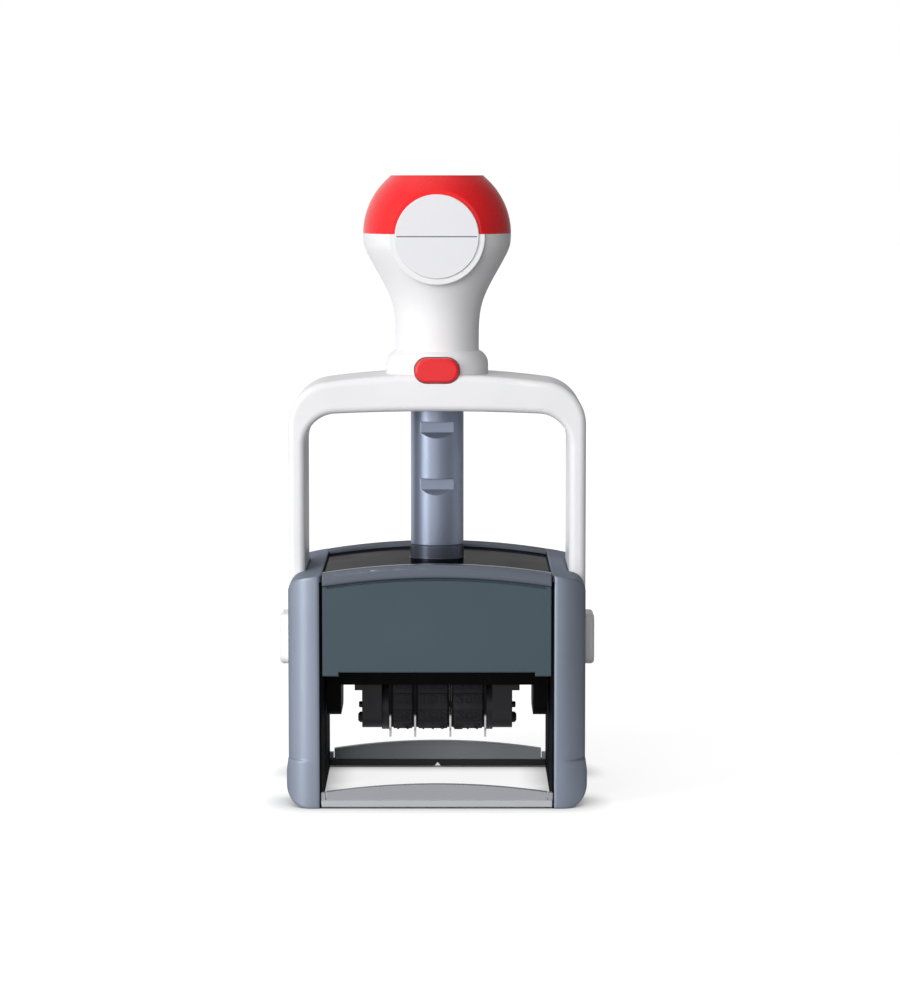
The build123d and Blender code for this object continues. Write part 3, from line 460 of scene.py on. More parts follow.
def inked_cloth(name, colour, ink):
    """Fine cloth over felt, soaked with ink."""
    material, tree, shader = new_material(name, Specular_IOR_Level=0.25, Sheen_Weight=0.25, Sheen_Roughness=0.5)
    place = opened(tree)
    weave = use(tree, "Cloth Weave", Place=place)
    trace = use(tree, "Ink Trace", Place=place, Size=110.0, Cover=0.62)
    toned = mixed(tree, weave.outputs["Tone"], shade(colour, 0.8), shade(colour, 1.3))
    soaked = mixed(tree, trace.outputs["Mask"], toned, tuple(ink) + (1.0,))
    dull = spread(tree, trace.outputs["Mask"], 0.0, 1.0, 0.85, 0.45)
    bump = raised(tree, 0.7, 0.12 * MM, weave.outputs["Height"])
    feed(tree, shader, Base_Color=soaked, Roughness=dull, Normal=bump)
    return material


def nodes_with(slot):
    """CAD nodes that take their finish from this slot of the record."""
    return [row["node"] for row in frame["record"]["subparts"] if row["material_slot"] == slot]


def dress(slot, material, nodes=None):
    """Give CAD nodes their material."""
    for name in nodes or nodes_with(slot):
        for holder in frame["nodes"][name].material_slots:
            holder.material = material


# ---- modelling helpers ----


def deselect():
    bpy.ops.object.select_all(action="DESELECT")


def only(piece):
    """Select this object alone and make it active."""
    deselect()
    piece.select_set(True)
    bpy.context.view_layer.objects.active = piece


def settle(piece):
    """Move the piece's place into its mesh."""
    only(piece)
    bpy.ops.object.transform_apply(location=True, rotation=True, scale=True)


def modify(piece, kind, **settings):
    """Add a modifier and apply it."""
    only(piece)
    modifier = piece.modifiers.new(kind.title(), kind)
    for name, value in settings.items():
        setattr(modifier, name, value)
    bpy.ops.object.modifier_apply(modifier=modifier.name)


def pick(piece, chosen, what="verts"):
    """In edit mode, select the vertices or faces that the test accepts."""
    modes = {"verts": "VERT", "faces": "FACE"}
    bpy.ops.mesh.select_all(action="DESELECT")
    bpy.ops.mesh.select_mode(type=modes[what])
    shape = bmesh.from_edit_mesh(piece.data)
    for element in getattr(shape, what):
        element.select_set(bool(chosen(element)))
    shape.select_flush_mode()
    bmesh.update_edit_mesh(piece.data)


def edit(piece):
    """Go into edit mode with this piece."""
    only(piece)
    bpy.ops.object.mode_set(mode="EDIT")


def stop_edit():
    bpy.ops.object.mode_set(mode="OBJECT")


def outward(piece):
    """Recalculate normals so that faces point outwards."""
    edit(piece)
    bpy.ops.mesh.select_all(action="SELECT")
    bpy.ops.mesh.normals_make_consistent(inside=False)
    stop_edit()


def finish_piece(piece, name, body, material, stands_for):
    """Name, finish and mount a new piece, which replaces a CAD node."""
    settle(piece)
    piece.name = piece.data.name = name
    piece.data.materials.clear()
    piece.data.materials.append(material)
    for face in piece.data.polygons:
        face.material_index = 0
    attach(piece, body)
    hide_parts(stands_for)


# ---- settings ----


def rgb(red, green, blue):
    """Linear colour from display values between 0 and 255."""
    values = [channel / 255 for channel in (red, green, blue)]
    return tuple(v / 12.92 if v <= 0.04045 else ((v + 0.055) / 1.055) ** 2.4 for v in values)


def colour_property(name, description, default):
    return bpy.props.FloatVectorProperty(
        name=name, description=description, subtype="COLOR", size=3, min=0.0, max=1.0, default=default
    )


def length_property(name, description, default, low=0.0):
    return bpy.props.FloatProperty(
        name=name, description=description, default=default, min=low, subtype="DISTANCE", unit="LENGTH"
    )


def share_property(name, description, default):
    return bpy.props.FloatProperty(
        name=name, description=description, default=default, min=0.0, max=1.0, subtype="FACTOR"
    )


def power_property(name, description, default):
    return bpy.props.FloatProperty(name=name, description=description, default=default, min=0.0, unit="POWER")


class StampColours(bpy.types.PropertyGroup):
    frame_plastic: colour_property(
        "Side Frames", "Blue-grey of the side frames and rear panel", rgb(142, 151, 166)
    )
    roof: colour_property("Roof", "Dark smoke of the polished roof", rgb(58, 62, 67))
    base_bars: colour_property("Base Bars", "Light grey of the base bars", rgb(158, 160, 165))
    column: colour_property("Column", "Grey of the centre column", rgb(142, 151, 170))
    drawer: colour_property("Drawer", "Slate grey of the ink drawer's front", rgb(66, 80, 88))
    black: colour_property("Black Parts", "Black of the print block and pad tray", rgb(5, 5, 6))
    white: colour_property("White Parts", "White of the yoke, grip and pivot caps", rgb(238, 238, 240))
    red: colour_property("Red Parts", "Red of the knob cap and lock button", rgb(236, 32, 38))
    label: colour_property("Label", "Pale grey of the bare label", rgb(232, 232, 236))
    rule: colour_property("Label Rule", "Grey of the fine rule on the label", rgb(110, 110, 116))
    steel: colour_property("Steel", "Bright steel of pins, screws and dividers", rgb(214, 214, 216))
    wire: colour_property("Spring Wire", "Drawn wire of the return spring", rgb(176, 178, 182))
    band: colour_property("Bands", "Black rubber of the number bands", rgb(46, 46, 50))
    die: colour_property("Text Die", "Dark red rubber of the text die", rgb(110, 52, 48))
    felt: colour_property("Felt", "Felt and cloth of the ink pad", rgb(40, 42, 66))
    ink: colour_property("Ink", "Blue-black ink", rgb(16, 18, 46))


class StampFinish(bpy.types.PropertyGroup):
    edge_radius: length_property("Edge Radius", "Rounding that shading gives to sharp edges", 0.35 * MM)
    edge_wear: share_property("Edge Wear", "How much lighter the rubbed edges are", 0.35)
    dust: share_property("Dust", "Dust on surfaces that face up", 0.06)
    skin_strength: share_property("Skin Strength", "Strength of the moulded texture", 0.15)
    skin_depth: length_property("Skin Depth", "Depth of the moulded texture", 0.02 * MM)


class StampSizes(bpy.types.PropertyGroup):
    spring_radius: length_property("Spring Radius", "Radius to the middle of the spring wire", 3.4 * MM)
    wire_radius: length_property("Wire Radius", "Radius of the spring wire", 0.45 * MM)
    spring_turns: bpy.props.IntProperty(
        name="Spring Turns", description="Turns of the spring", default=12, min=2
    )
    spring_keep: share_property("Pressed Length", "Share of the spring's length left at full stroke", 0.6445)
    pad_corner: length_property("Pad Edge", "Rounding of the ink pad's edges", 0.4 * MM)
    type_size: length_property("Type Size", "Size of the raised numbers on the bands", 3.3 * MM)
    type_pitch: length_property("Type Pitch", "Distance between numbers along a band", 3.7 * MM)
    plinth: length_property("Plinth", "Height of the plate under each number", 0.2 * MM)
    relief: length_property("Type Relief", "Height of the plate and number together", 0.5 * MM)


class StampStage(bpy.types.PropertyGroup):
    key_power: power_property("Key Light", "Power of the tall soft light on the left", 15.0)
    front_power: power_property("Front Light", "Power of the soft light at the front", 17.0)
    top_power: power_property("Top Light", "Power of the soft light above", 1.5)
    room_left: share_property("Room Left", "Soft light that comes from the left side", 0.42)
    room_right: share_property("Room Right", "Soft light that comes from the right side", 0.18)
    mirror_right: share_property("Mirrored Right", "Brightness of the right side in reflections", 0.2)
    floor_colour: colour_property("Floor", "Pale floor under the stamp", (0.32, 0.32, 0.32))
    floor_lift: share_property("Floor Lift", "White that the floor shows round the stamp", 0.84)
    camera_distance: length_property("Camera Distance", "Camera to the stamp's axis", 0.865, low=0.1)
    camera_height: length_property("Camera Height", "Camera above the floor", 0.160)
    camera_side: length_property("Camera Side", "Camera to the right of the stamp's axis", 0.0033, low=-1.0)
    camera_pitch: bpy.props.FloatProperty(
        name="Camera Pitch",
        description="How far the camera looks down",
        default=math.radians(5.632),
        subtype="ANGLE",
        unit="ROTATION",
    )
    camera_lens: bpy.props.FloatProperty(
        name="Lens", description="Focal length of the lens", default=121.41, min=1.0, unit="CAMERA"
    )


# ---- operators ----


class StampOperator(bpy.types.Operator):
    """Base of the stamp's operators: runs make() with the settings."""

    bl_options = {"REGISTER", "UNDO"}

    def execute(self, context):
        self.make(context.scene)
        return {"FINISHED"}


class DressSideFrames(StampOperator):
    """Give the side frames, rear panel and drawer rails their moulded grey, the rear panel's as a darker copy
    that is painted shade
    """

    bl_idname = "stamp.dress_side_frames"
    bl_label = "Dress Side Frames"

    inner_face = 8.5 * MM  # from the outside to just short of the inner faces
    crest = 1.6 * MM

    def make(self, scene):
        colour, finish = scene.stamp_colours.frame_plastic, scene.stamp_finish
        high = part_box("side_frame_right")[1]
        throat, top = high.x - self.inner_face, high.z - self.crest
        # The inner faces along the throat between the frames are made near black, dull and partly metallic.
        near_black_inner_faces = (zone(x=(-throat, throat), z=(-top, top)), shade(colour, 0.04), 0.75, 0.8)
        sides = moulded_plastic(
            "Frame Plastic", colour, finish, 0.38, 0.46, patches=[near_black_inner_faces], dull_top=0.55, soft=2.5,
            Metallic=0.7, Specular_Tint=(0.2, 0.2, 0.2, 1.0),
        )
        # The rear panel takes the frame grey at 0.55: a shaded copy of the same plastic, which is painted
        # shade.
        rear_painted_shade = moulded_plastic(
            "Rear Panel Plastic", shade(colour, 0.55), finish, 0.4, 0.55, specular=0.3, dull_top=0.8
        )
        dress("frame_grey", sides)
        dress("frame_grey", rear_painted_shade, ["rear_panel"])


class DressRoof(StampOperator):
    """Give the roof its polished dark plastic, and the boss round the column a darkened column grey that is
    partly a painted reflection
    """

    bl_idname = "stamp.dress_roof"
    bl_label = "Dress Roof"

    boss_radius = 7.4 * MM

    def make(self, scene):
        colours, finish = scene.stamp_colours, scene.stamp_finish
        # The boss takes the column grey at 0.35: a dark gloss of its own, and partly a painted reflection of
        # the column in the roof.
        boss_with_painted_reflection = (round_axis(self.boss_radius), shade(colours.column, 0.35), 0.3, 0.6)
        plastic = moulded_plastic(
            "Roof Plastic", colours.roof, finish, 0.08, 0.16, patches=[boss_with_painted_reflection], glancing=1.0,
            Metallic=0.7, Specular_Tint=(0.03, 0.03, 0.035, 1.0),
        )
        dress("roof_black", plastic)


class DressBaseBars(StampOperator):
    """Give the base bars their satin grey, with painted shadow on the rear bar's lower lip and painted light on
    the front bar's
    """

    bl_idname = "stamp.dress_base_bars"
    bl_label = "Dress Base Bars"

    lip_height = 1.7 * MM
    margin = 1.0 * MM

    def make(self, scene):
        colour, finish = scene.stamp_colours.base_bars, scene.stamp_finish
        low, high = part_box("rear_base_bar")
        lip = (low.z - self.margin, low.z + self.lip_height)
        near, far = low.y - self.margin, high.y + self.margin
        # The rear bar's lower lip is made near black: painted shadow of the gap under it. The front bar's lower
        # lip is made lighter: painted light where it juts out.
        rear_lip_painted_shadow = (zone(y=(near, far), z=lip), shade(colour, 0.05), 0.6, 0.0)
        front_lip_painted_light = (zone(y=(-far, -near), z=lip), shade(colour, 1.4), 0.35, 0.0)
        bars = moulded_plastic("Base Bar Plastic", colour, finish, 0.35, 0.5, patches=[rear_lip_painted_shadow, front_lip_painted_light])
        dress("base_grey", bars)


class DressColumn(StampOperator):
    """Give the centre column its painted grey"""

    bl_idname = "stamp.dress_column"
    bl_label = "Dress Column"

    def make(self, scene):
        colour, finish = scene.stamp_colours.column, scene.stamp_finish
        paint = moulded_plastic("Column Paint", colour, finish, 0.36, 0.42, Metallic=0.75)
        dress("column_grey", paint)


class DressDrawer(StampOperator):
    """Give the ink drawer's front its slate grey, and its lip a lighter grey that is partly painted light"""

    bl_idname = "stamp.dress_drawer"
    bl_label = "Dress Drawer"

    lip_height = 3.6 * MM
    arch_radius = 185.0 * MM

    def make(self, scene):
        colour, finish = scene.stamp_colours.drawer, scene.stamp_finish
        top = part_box("drawer_front")[1].z
        # The lip takes the frame grey at half strength: a lighter grey of its own, and partly painted light
        # where the convex lip catches it.
        lip_grey_and_painted_light = shade(scene.stamp_colours.frame_plastic, 0.5)
        lip = (above_arch(top - self.lip_height, self.arch_radius), lip_grey_and_painted_light, 0.3, 0.6)
        plastic = moulded_plastic("Drawer Plastic", colour, finish, 0.34, 0.46, specular=0.35, patches=[lip])
        dress("panel_grey", plastic)


class DressHandle(StampOperator):
    """Give the yoke, grip, knob cap, button and label their finishes"""

    bl_idname = "stamp.dress_handle"
    bl_label = "Dress Handle"

    def make(self, scene):
        colours, finish = scene.stamp_colours, scene.stamp_finish
        white = moulded_plastic("White Plastic", colours.white, finish, 0.32, 0.4, specular=0.35)
        grip = moulded_plastic("Grip Plastic", colours.white, finish, 0.32, 0.4, specular=0.35, soft=0.0)
        cap = moulded_plastic("Cap Plastic", colours.red, finish, 0.26, 0.34, specular=0.35, soft=0.0)
        button = moulded_plastic("Button Plastic", shade(colours.red, 0.95), finish, 0.16, 0.22, specular=0.5)
        dress("white_plastic", white)
        dress("white_plastic", grip, ["handle_grip"])
        dress("red_plastic", cap, ["knob_cap"])
        dress("red_plastic", button, ["lock_button"])
        dress("label_card", label_card("Label Card", colours.label, colours.rule))


class DressPrintBlock(StampOperator):
    """Give the print block, wheels, tray and die their blacks and rubber"""

    bl_idname = "stamp.dress_print_block"
    bl_label = "Dress Print Block"

    def make(self, scene):
        colours, finish = scene.stamp_colours, scene.stamp_finish
        black = moulded_plastic("Black Plastic", colours.black, finish, 0.5, 0.65, specular=0.08)
        satin = moulded_plastic("Satin Black Plastic", shade(colours.band, 0.5), finish, 0.4, 0.5, specular=0.3)
        dress("black_plastic", black)
        dress("black_plastic", satin, ["band_end_left", "band_end_right", "band_nose"])
        dress("wheel_plastic", satin)
        dress("die_rubber", inked_rubber("Die Rubber", colours.die, colours.ink, finish, 0.6))


class DressSteelParts(StampOperator):
    """Give pins, screws, dividers and the column nut their bright steel, with painted shade on the dividers
    above their tips
    """

    bl_idname = "stamp.dress_steel_parts"
    bl_label = "Dress Steel Parts"

    turned_lines = (400.0, 3000.0, 3000.0)
    rolled_lines = (3000.0, 3200.0, 120.0)
    # Height of the divider tips that stay bright below the painted shade.
    unshaded_tip_height = 6.0 * MM

    def make(self, scene):
        colours, finish = scene.stamp_colours, scene.stamp_finish
        turned = self.turned_lines
        steel = bright_steel("Bright Steel", colours.steel, turned, 0.18, 0.32, finish)
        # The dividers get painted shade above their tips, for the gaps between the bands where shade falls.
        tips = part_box("band_divider_1")[0].z + self.unshaded_tip_height
        rolled = bright_steel("Rolled Steel", colours.steel, self.rolled_lines, 0.2, 0.34, finish, tips)
        dark = bright_steel("Blackened Steel", shade(colours.steel, 0.06), turned, 0.3, 0.45, finish)
        dress("steel", steel)
        dress("steel", rolled, [n for n in nodes_with("steel") if n.startswith("band_divider")])
        dress("steel", dark, ["wheel_shaft"])


class MakeReturnSpring(StampOperator):
    """Wind the return spring inside the column, from one circle of wire"""

    bl_idname = "stamp.make_return_spring"
    bl_label = "Make Return Spring"

    def make(self, scene):
        sizes, colours = scene.stamp_sizes, scene.stamp_colours
        low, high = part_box("return_spring")
        bottom, top = low.z + sizes.wire_radius, high.z - sizes.wire_radius
        deselect()
        bpy.ops.mesh.primitive_circle_add(
            vertices=12,
            radius=sizes.wire_radius,
            location=(sizes.spring_radius, 0.0, bottom),
            rotation=(math.pi / 2, 0.0, 0.0),
        )
        coil = bpy.context.object
        settle(coil)
        modify(
            coil,
            "SCREW",
            axis="Z",
            angle=2 * math.pi,
            screw_offset=(top - bottom) / sizes.spring_turns,
            iterations=sizes.spring_turns,
            steps=36,
            render_steps=36,
            use_smooth_shade=True,
        )
        edit(coil)
        bpy.ops.mesh.select_all(action="SELECT")
        bpy.ops.mesh.remove_doubles(threshold=0.001 * MM)
        bpy.ops.mesh.fill_holes(sides=0)
        stop_edit()
        outward(coil)
        wire = bright_steel("Spring Wire", colours.wire, (600.0, 600.0, 600.0), 0.2, 0.35, scene.stamp_finish)
        finish_piece(coil, "spring_coil", "frame", wire, "return_spring")
        only(coil)
        bpy.ops.object.shade_smooth_by_angle(angle=math.radians(40))
        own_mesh(coil)


class MakeInkPad(StampOperator):
    """Model the cloth-covered felt pad, face down in its tray"""

    bl_idname = "stamp.make_ink_pad"
    bl_label = "Make Ink Pad"

    inset = 0.15 * MM
    rim = 0.3 * MM
    crown_steps = (1.0 * MM, 2.5 * MM, 4.5 * MM, 7.0 * MM)
    crown_rise = 0.03 * MM
    lump_size = 2.2 * MM
    lump_height = 0.06 * MM

    def make(self, scene):
        sizes, colours = scene.stamp_sizes, scene.stamp_colours
        low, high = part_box("ink_pad")
        size, middle = high - low, (low + high) / 2
        deselect()
        bpy.ops.mesh.primitive_grid_add(
            x_subdivisions=62, y_subdivisions=30, size=1.0, location=(middle.x, middle.y, high.z)
        )
        pad = bpy.context.object
        pad.scale = (size.x - 2 * self.inset, size.y - 2 * self.inset, 1.0)
        settle(pad)
        modify(pad, "SOLIDIFY", thickness=size.z - self.inset, offset=-1.0)
        edit(pad)
        underside = high.z - size.z + self.inset + self.rim
        for step in self.crown_steps:
            reach = Vector((size.x / 2 - step, size.y / 2 - step))
            pick(pad, lambda v, r=reach: v.co.z < underside and abs(v.co.x) < r.x and abs(v.co.y) < r.y)
            bpy.ops.transform.translate(value=(0, 0, -self.crown_rise))
        stop_edit()
        modify(
            pad, "BEVEL", width=sizes.pad_corner, segments=3, limit_method="ANGLE", angle_limit=math.radians(60)
        )
        bumps = bpy.data.textures.new("Felt Lumps", "CLOUDS")
        bumps.noise_scale = self.lump_size
        modify(
            pad, "DISPLACE", texture=bumps, texture_coords="LOCAL", strength=self.lump_height, mid_level=0.6
        )
        outward(pad)
        cloth = inked_cloth("Inked Cloth", colours.felt, colours.ink)
        finish_piece(pad, "felt_pad", "ink_drawer", cloth, "ink_pad")
        only(pad)
        bpy.ops.object.shade_smooth()


class MakeNumberBands(StampOperator):
    """Model the rubber bands with their raised numbers, reversed as type is"""

    bl_idname = "stamp.make_number_bands"
    bl_label = "Make Number Bands"

    wheel_z = 21.5 * MM
    wheel_outside = 5.9 * MM
    nose_outside = 3.8 * MM
    thickness = 0.9 * MM
    belt_edge = 0.12 * MM
    side_fill = 0.09 * MM  # how far each belt reaches towards its dividers
    first_numbers = (1, 101, 201)
    round_wheel = (-72, -36, 0, 36, 72)
    plate_margin = 0.8 * MM
    plate_sink = 0.15 * MM
    plate_share = 0.75  # of the pitch
    plate_taper = (0.96, 0.9, 1.0)
    number_sink = 0.05 * MM
    number_share = 0.82  # of the plate's width
    most_stretch = 1.5

    def make(self, scene):
        sizes, colours = scene.stamp_sizes, scene.stamp_colours
        dividers = [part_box(f"band_divider_{i}") for i in range(1, 5)]
        # Middles of the dividers, where the bands get painted shade of their gaps.
        painted_gap_shades = [(low.x + high.x) / 2 for low, high in dividers]
        rubber = inked_rubber("Band Rubber", colours.band, colours.ink, scene.stamp_finish, 0.25, painted_gap_shades)
        for index, first in enumerate(self.first_numbers, 1):
            node = f"number_band_{index}"
            low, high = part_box(node)
            self.nose_z = high.z - sizes.relief - self.nose_outside
            parts = [self.loop(low.x - self.side_fill, high.x + self.side_fill)]
            middle, width = (low.x + high.x) / 2, high.x - low.x - self.plate_margin
            for count, place in enumerate(self.places(middle, sizes)):
                parts.append(self.plate(width, place, sizes))
                parts.append(self.number(f"{first + count:02d}", width, place, sizes))
            deselect()
            for part in parts:
                part.select_set(True)
            bpy.context.view_layer.objects.active = parts[0]
            bpy.ops.object.join()
            band = bpy.context.object
            finish_piece(band, f"rubber_band_{index}", "print_block", rubber, node)
            only(band)
            bpy.ops.object.shade_smooth_by_angle(angle=math.radians(30))

    def loop(self, low, high):
        """Endless belt: a circle drawn out over the nose, given width and thickness."""
        deselect()
        bpy.ops.mesh.primitive_circle_add(
            vertices=72,
            radius=self.wheel_outside,
            location=(low, 0.0, self.wheel_z),
            rotation=(0.0, math.pi / 2, 0.0),
        )
        belt = bpy.context.object
        settle(belt)
        edit(belt)
        pick(belt, lambda v: v.co.z > self.wheel_z + 0.01 * MM)
        bpy.ops.transform.translate(value=(0, 0, self.nose_z - self.wheel_z))
        share = self.nose_outside / self.wheel_outside
        bpy.ops.transform.resize(value=(1, share, share), center_override=(low, 0, self.nose_z))
        bpy.ops.mesh.select_all(action="SELECT")
        bpy.ops.mesh.extrude_region_move(TRANSFORM_OT_translate={"value": (high - low, 0, 0)})
        bpy.ops.mesh.select_all(action="SELECT")
        bpy.ops.mesh.normals_make_consistent(inside=False)
        stop_edit()
        if self.points_inward(belt):
            edit(belt)
            bpy.ops.mesh.select_all(action="SELECT")
            bpy.ops.mesh.flip_normals()
            stop_edit()
        modify(belt, "SOLIDIFY", thickness=self.thickness, offset=-1.0)
        modify(
            belt, "BEVEL", width=self.belt_edge, segments=2, limit_method="ANGLE", angle_limit=math.radians(50)
        )
        outward(belt)
        return belt

    def points_inward(self, belt):
        face = max(belt.data.polygons, key=lambda f: f.center.z)
        return face.normal.z < 0

    def places(self, middle, sizes):
        """Place of each number: right is +X, up follows the belt's travel, and out is its face."""
        span = self.nose_z - self.wheel_z
        lean = math.asin((self.wheel_outside - self.nose_outside) / span)
        spots = [((0.0, self.nose_z + self.nose_outside), 0.0)]
        count = int(span * math.cos(lean) / sizes.type_pitch)
        run = []
        for step in range(count):
            along = sizes.type_pitch * (step + 0.5)
            y = self.wheel_outside * math.cos(lean) - along * math.sin(lean)
            z = self.wheel_z + self.wheel_outside * math.sin(lean) + along * math.cos(lean)
            run.append((y, z))
        for y, z in reversed(run):
            spots.append(((-y, z), math.pi / 2 + lean))
        for turn in self.round_wheel:
            angle = math.radians(turn)
            spot = (self.wheel_outside * math.sin(angle), self.wheel_z - self.wheel_outside * math.cos(angle))
            spots.append((spot, math.pi + angle))
        for y, z in run:
            spots.append(((y, z), 3 * math.pi / 2 - lean))
        return [self.place(middle, y, z, turn) for (y, z), turn in spots]

    def place(self, x, y, z, turn):
        out = Vector((0, -math.sin(turn), math.cos(turn)))
        up = Vector((0, -math.cos(turn), -math.sin(turn)))
        axes = Matrix((Vector((1, 0, 0)), up, out)).transposed()
        return Matrix.Translation((x, y, z)) @ axes.to_4x4()

    def plate(self, width, place, sizes):
        """Low plate under a number, with sloped sides."""
        deselect()
        bpy.ops.mesh.primitive_cube_add(size=1.0)
        plate = bpy.context.object
        plate.scale = (width, self.plate_share * sizes.type_pitch, sizes.plinth + self.plate_sink)
        plate.location = (0, 0, (sizes.plinth - self.plate_sink) / 2)
        settle(plate)
        edit(plate)
        pick(plate, lambda f: f.normal.z > 0.9, "faces")
        bpy.ops.transform.resize(value=self.plate_taper, center_override=(0, 0, sizes.plinth))
        stop_edit()
        plate.matrix_world = place
        self.mirror_in(plate)
        return plate

    def number(self, text, width, place, sizes):
        """Raised number that ends at the printing face."""
        deselect()
        bpy.ops.object.text_add()
        letters = bpy.context.object
        letters.data.body = text
        letters.data.align_x, letters.data.align_y = "CENTER", "CENTER"
        letters.data.size = sizes.type_size
        letters.data.resolution_u = 3
        half = (sizes.relief - sizes.plinth + self.number_sink) / 2
        letters.data.extrude = half
        only(letters)
        bpy.ops.object.convert(target="MESH")
        number = bpy.context.object
        stretch = min(self.most_stretch, self.number_share * width / number.dimensions.x)
        number.scale = (stretch, 1.0, 1.0)
        number.location = (0, 0, sizes.relief - half)
        settle(number)
        number.matrix_world = place
        self.mirror_in(number)
        return number

    def mirror_in(self, part):
        """Put a mirroring place into the mesh, and turn the faces the right way again."""
        part.data.transform(part.matrix_world)
        part.matrix_world = Matrix.Identity(4)
        outward(part)


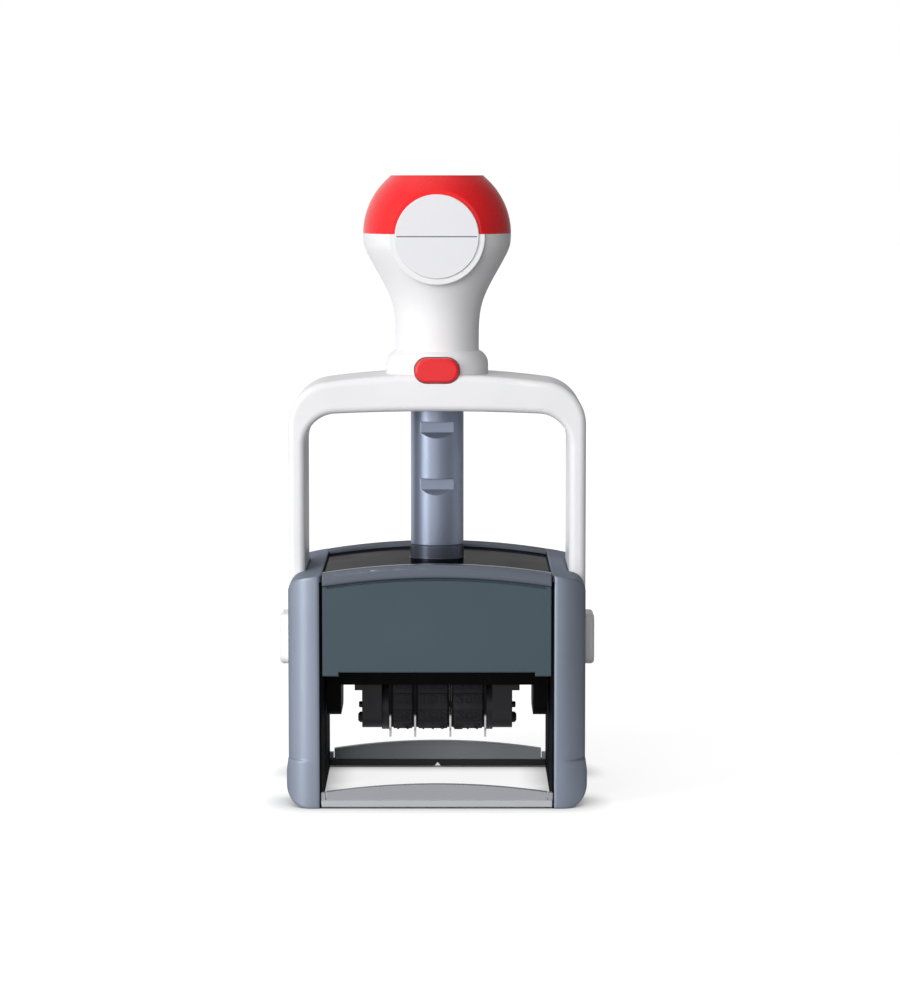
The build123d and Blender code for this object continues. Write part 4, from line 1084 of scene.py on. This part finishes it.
class MakeStage(StampOperator):
    """Set the pale floor, soft lights, white surroundings and the camera"""

    bl_idname = "stamp.make_stage"
    bl_label = "Make Stage"

    floor_radius = 6.0
    floor_drop = 0.05 * MM
    contact_reach = 8.0 * MM  # how far the painted contact shadow reaches beside what stands on the floor
    focus = Vector((0.0, 0.0, 0.08))
    # name, place, width and height, property with the power
    lights = (
        ("Key Light", (-1.36, -1.06, 0.55), (0.5, 1.2), "key_power"),
        ("Front Light", (-0.45, -1.65, 0.5), (1.0, 1.0), "front_power"),
        ("Top Light", (-0.2, 0.1, 1.5), (1.2, 1.2), "top_power"),
    )

    def make(self, scene):
        stage = scene.stamp_stage
        self.floor(stage)
        self.surroundings(scene, stage)
        for name, place, size, power in self.lights:
            lamp = self.light(name, place, size, getattr(stage, power))
            lamp.visible_glossy = name != "Front Light"
        self.camera(scene, stage)
        scene.view_settings.view_transform = "Standard"

    def floor(self, stage):
        """Floor that is pale where it is seen, and keeps the stamp's shadow; its glow dims near the stamp and
        beside what stands on it, which is painted shade.
        """
        deselect()
        bpy.ops.mesh.primitive_circle_add(
            vertices=96, radius=self.floor_radius, fill_type="NGON", location=(0, 0, -self.floor_drop)
        )
        floor = bpy.context.object
        floor.name = "floor"
        material, tree, shader = new_material("Pale Floor", Roughness=0.85, Specular_IOR_Level=0.1)
        shader.inputs["Base Color"].default_value = tuple(stage.floor_colour) + (1.0,)
        seen = add(tree, "LightPath")
        place = opened(tree)
        right = add(tree, "SeparateXYZ", {0: place}).outputs[0]
        mirrored = spread(tree, right, -0.1, 0.2, 1.0, stage.mirror_right)
        mirrored = sums(tree, "MULTIPLY", seen.outputs["Is Glossy Ray"], mirrored)
        direct = sums(tree, "MAXIMUM", seen.outputs["Is Camera Ray"], mirrored)
        away = add(tree, "VectorMath", {0: place}, operation="LENGTH").outputs["Value"]
        # Painted shade: the glow is lower near the stamp, and ambient occlusion dims it further beside what
        # stands on the floor.
        near_stamp, far_off, far_lift = 0.04, 0.4, 0.97
        lift = spread(tree, away, near_stamp, far_off, stage.floor_lift, far_lift)
        painted_contact_shadow = add(tree, "AmbientOcclusion", {"Distance": self.contact_reach}, samples=8).outputs["AO"]
        strength = sums(tree, "MULTIPLY", direct, sums(tree, "MULTIPLY", lift, painted_contact_shadow))
        glow = add(tree, "Emission", {"Color": (1, 1, 1, 1), "Strength": strength})
        both = add(tree, "AddShader", {0: shader.outputs[0], 1: glow.outputs[0]})
        tree.links.new(both.outputs[0], tree.nodes["Material Output"].inputs["Surface"])
        floor.data.materials.append(material)

    def surroundings(self, scene, stage):
        """White where it is seen or mirrored, and soft light that falls off to the right."""
        world = bpy.data.worlds.new("Studio")
        scene.world = world
        world.use_nodes = True
        tree = world.node_tree
        seen = add(tree, "LightPath")
        side = add(tree, "SeparateXYZ", {0: add(tree, "TexCoord").outputs["Generated"]}).outputs[0]
        room = spread(tree, side, -1.0, 0.4, stage.room_left, stage.room_right)
        mirrored = spread(tree, side, -0.3, 0.6, 1.0, stage.mirror_right)
        glossy = sums(tree, "MAXIMUM", seen.outputs["Is Glossy Ray"], seen.outputs["Is Transmission Ray"])
        strength = add(tree, "Mix", {0: glossy, 2: room, 3: mirrored}).outputs[0]
        strength = add(tree, "Mix", {0: seen.outputs["Is Camera Ray"], 2: strength, 3: 1.0}).outputs[0]
        background = tree.nodes["Background"]
        background.inputs["Color"].default_value = (1, 1, 1, 1)
        tree.links.new(strength, background.inputs["Strength"])

    def light(self, name, place, size, power):
        data = bpy.data.lights.new(name, "AREA")
        data.shape, data.energy = "RECTANGLE", power
        data.size, data.size_y = size
        lamp = bpy.data.objects.new(name, data)
        bpy.context.scene.collection.objects.link(lamp)
        lamp.location = place
        lamp.rotation_euler = (self.focus - Vector(place)).to_track_quat("-Z", "Y").to_euler()
        return lamp

    def camera(self, scene, stage):
        data = bpy.data.cameras.new("Camera")
        data.lens = stage.camera_lens
        data.clip_start, data.clip_end = 0.05, 50.0
        camera = bpy.data.objects.new("Camera", data)
        scene.collection.objects.link(camera)
        camera.location = (stage.camera_side, -stage.camera_distance, stage.camera_height)
        camera.rotation_euler = (math.pi / 2 - stage.camera_pitch, 0.0, 0.0)
        scene.camera = camera


class STAMP_PT_panel(bpy.types.Panel):
    """Panel that lists the stamp's steps and settings"""

    bl_label = "Band Stamp"
    bl_idname = "STAMP_PT_panel"
    bl_space_type = "VIEW_3D"
    bl_region_type = "UI"
    bl_category = "Stamp"

    def draw(self, context):
        for step in STEPS:
            self.layout.operator(step.bl_idname)
        for group in SETTINGS:
            box = self.layout.box()
            for name in getattr(context.scene, group).__annotations__:
                box.prop(getattr(context.scene, group), name)


STEPS = (
    DressSideFrames,
    DressRoof,
    DressBaseBars,
    DressColumn,
    DressDrawer,
    DressHandle,
    DressPrintBlock,
    DressSteelParts,
    MakeReturnSpring,
    MakeInkPad,
    MakeNumberBands,
    MakeStage,
)
SETTINGS = {
    "stamp_colours": StampColours,
    "stamp_finish": StampFinish,
    "stamp_sizes": StampSizes,
    "stamp_stage": StampStage,
}


def register():
    for group in SETTINGS.values():
        bpy.utils.register_class(group)
    for name, group in SETTINGS.items():
        setattr(bpy.types.Scene, name, bpy.props.PointerProperty(type=group))
    for step in STEPS:
        bpy.utils.register_class(step)
    bpy.utils.register_class(STAMP_PT_panel)


def unregister():
    bpy.utils.unregister_class(STAMP_PT_panel)
    for step in reversed(STEPS):
        bpy.utils.unregister_class(step)
    for name in SETTINGS:
        delattr(bpy.types.Scene, name)
    for group in reversed(list(SETTINGS.values())):
        bpy.utils.unregister_class(group)


def main():
    register()
    for effect in GROUPS:
        effect()
    for step in STEPS:
        family, name = step.bl_idname.split(".")
        getattr(getattr(bpy.ops, family), name)()


if __name__ == "__main__":
    main()
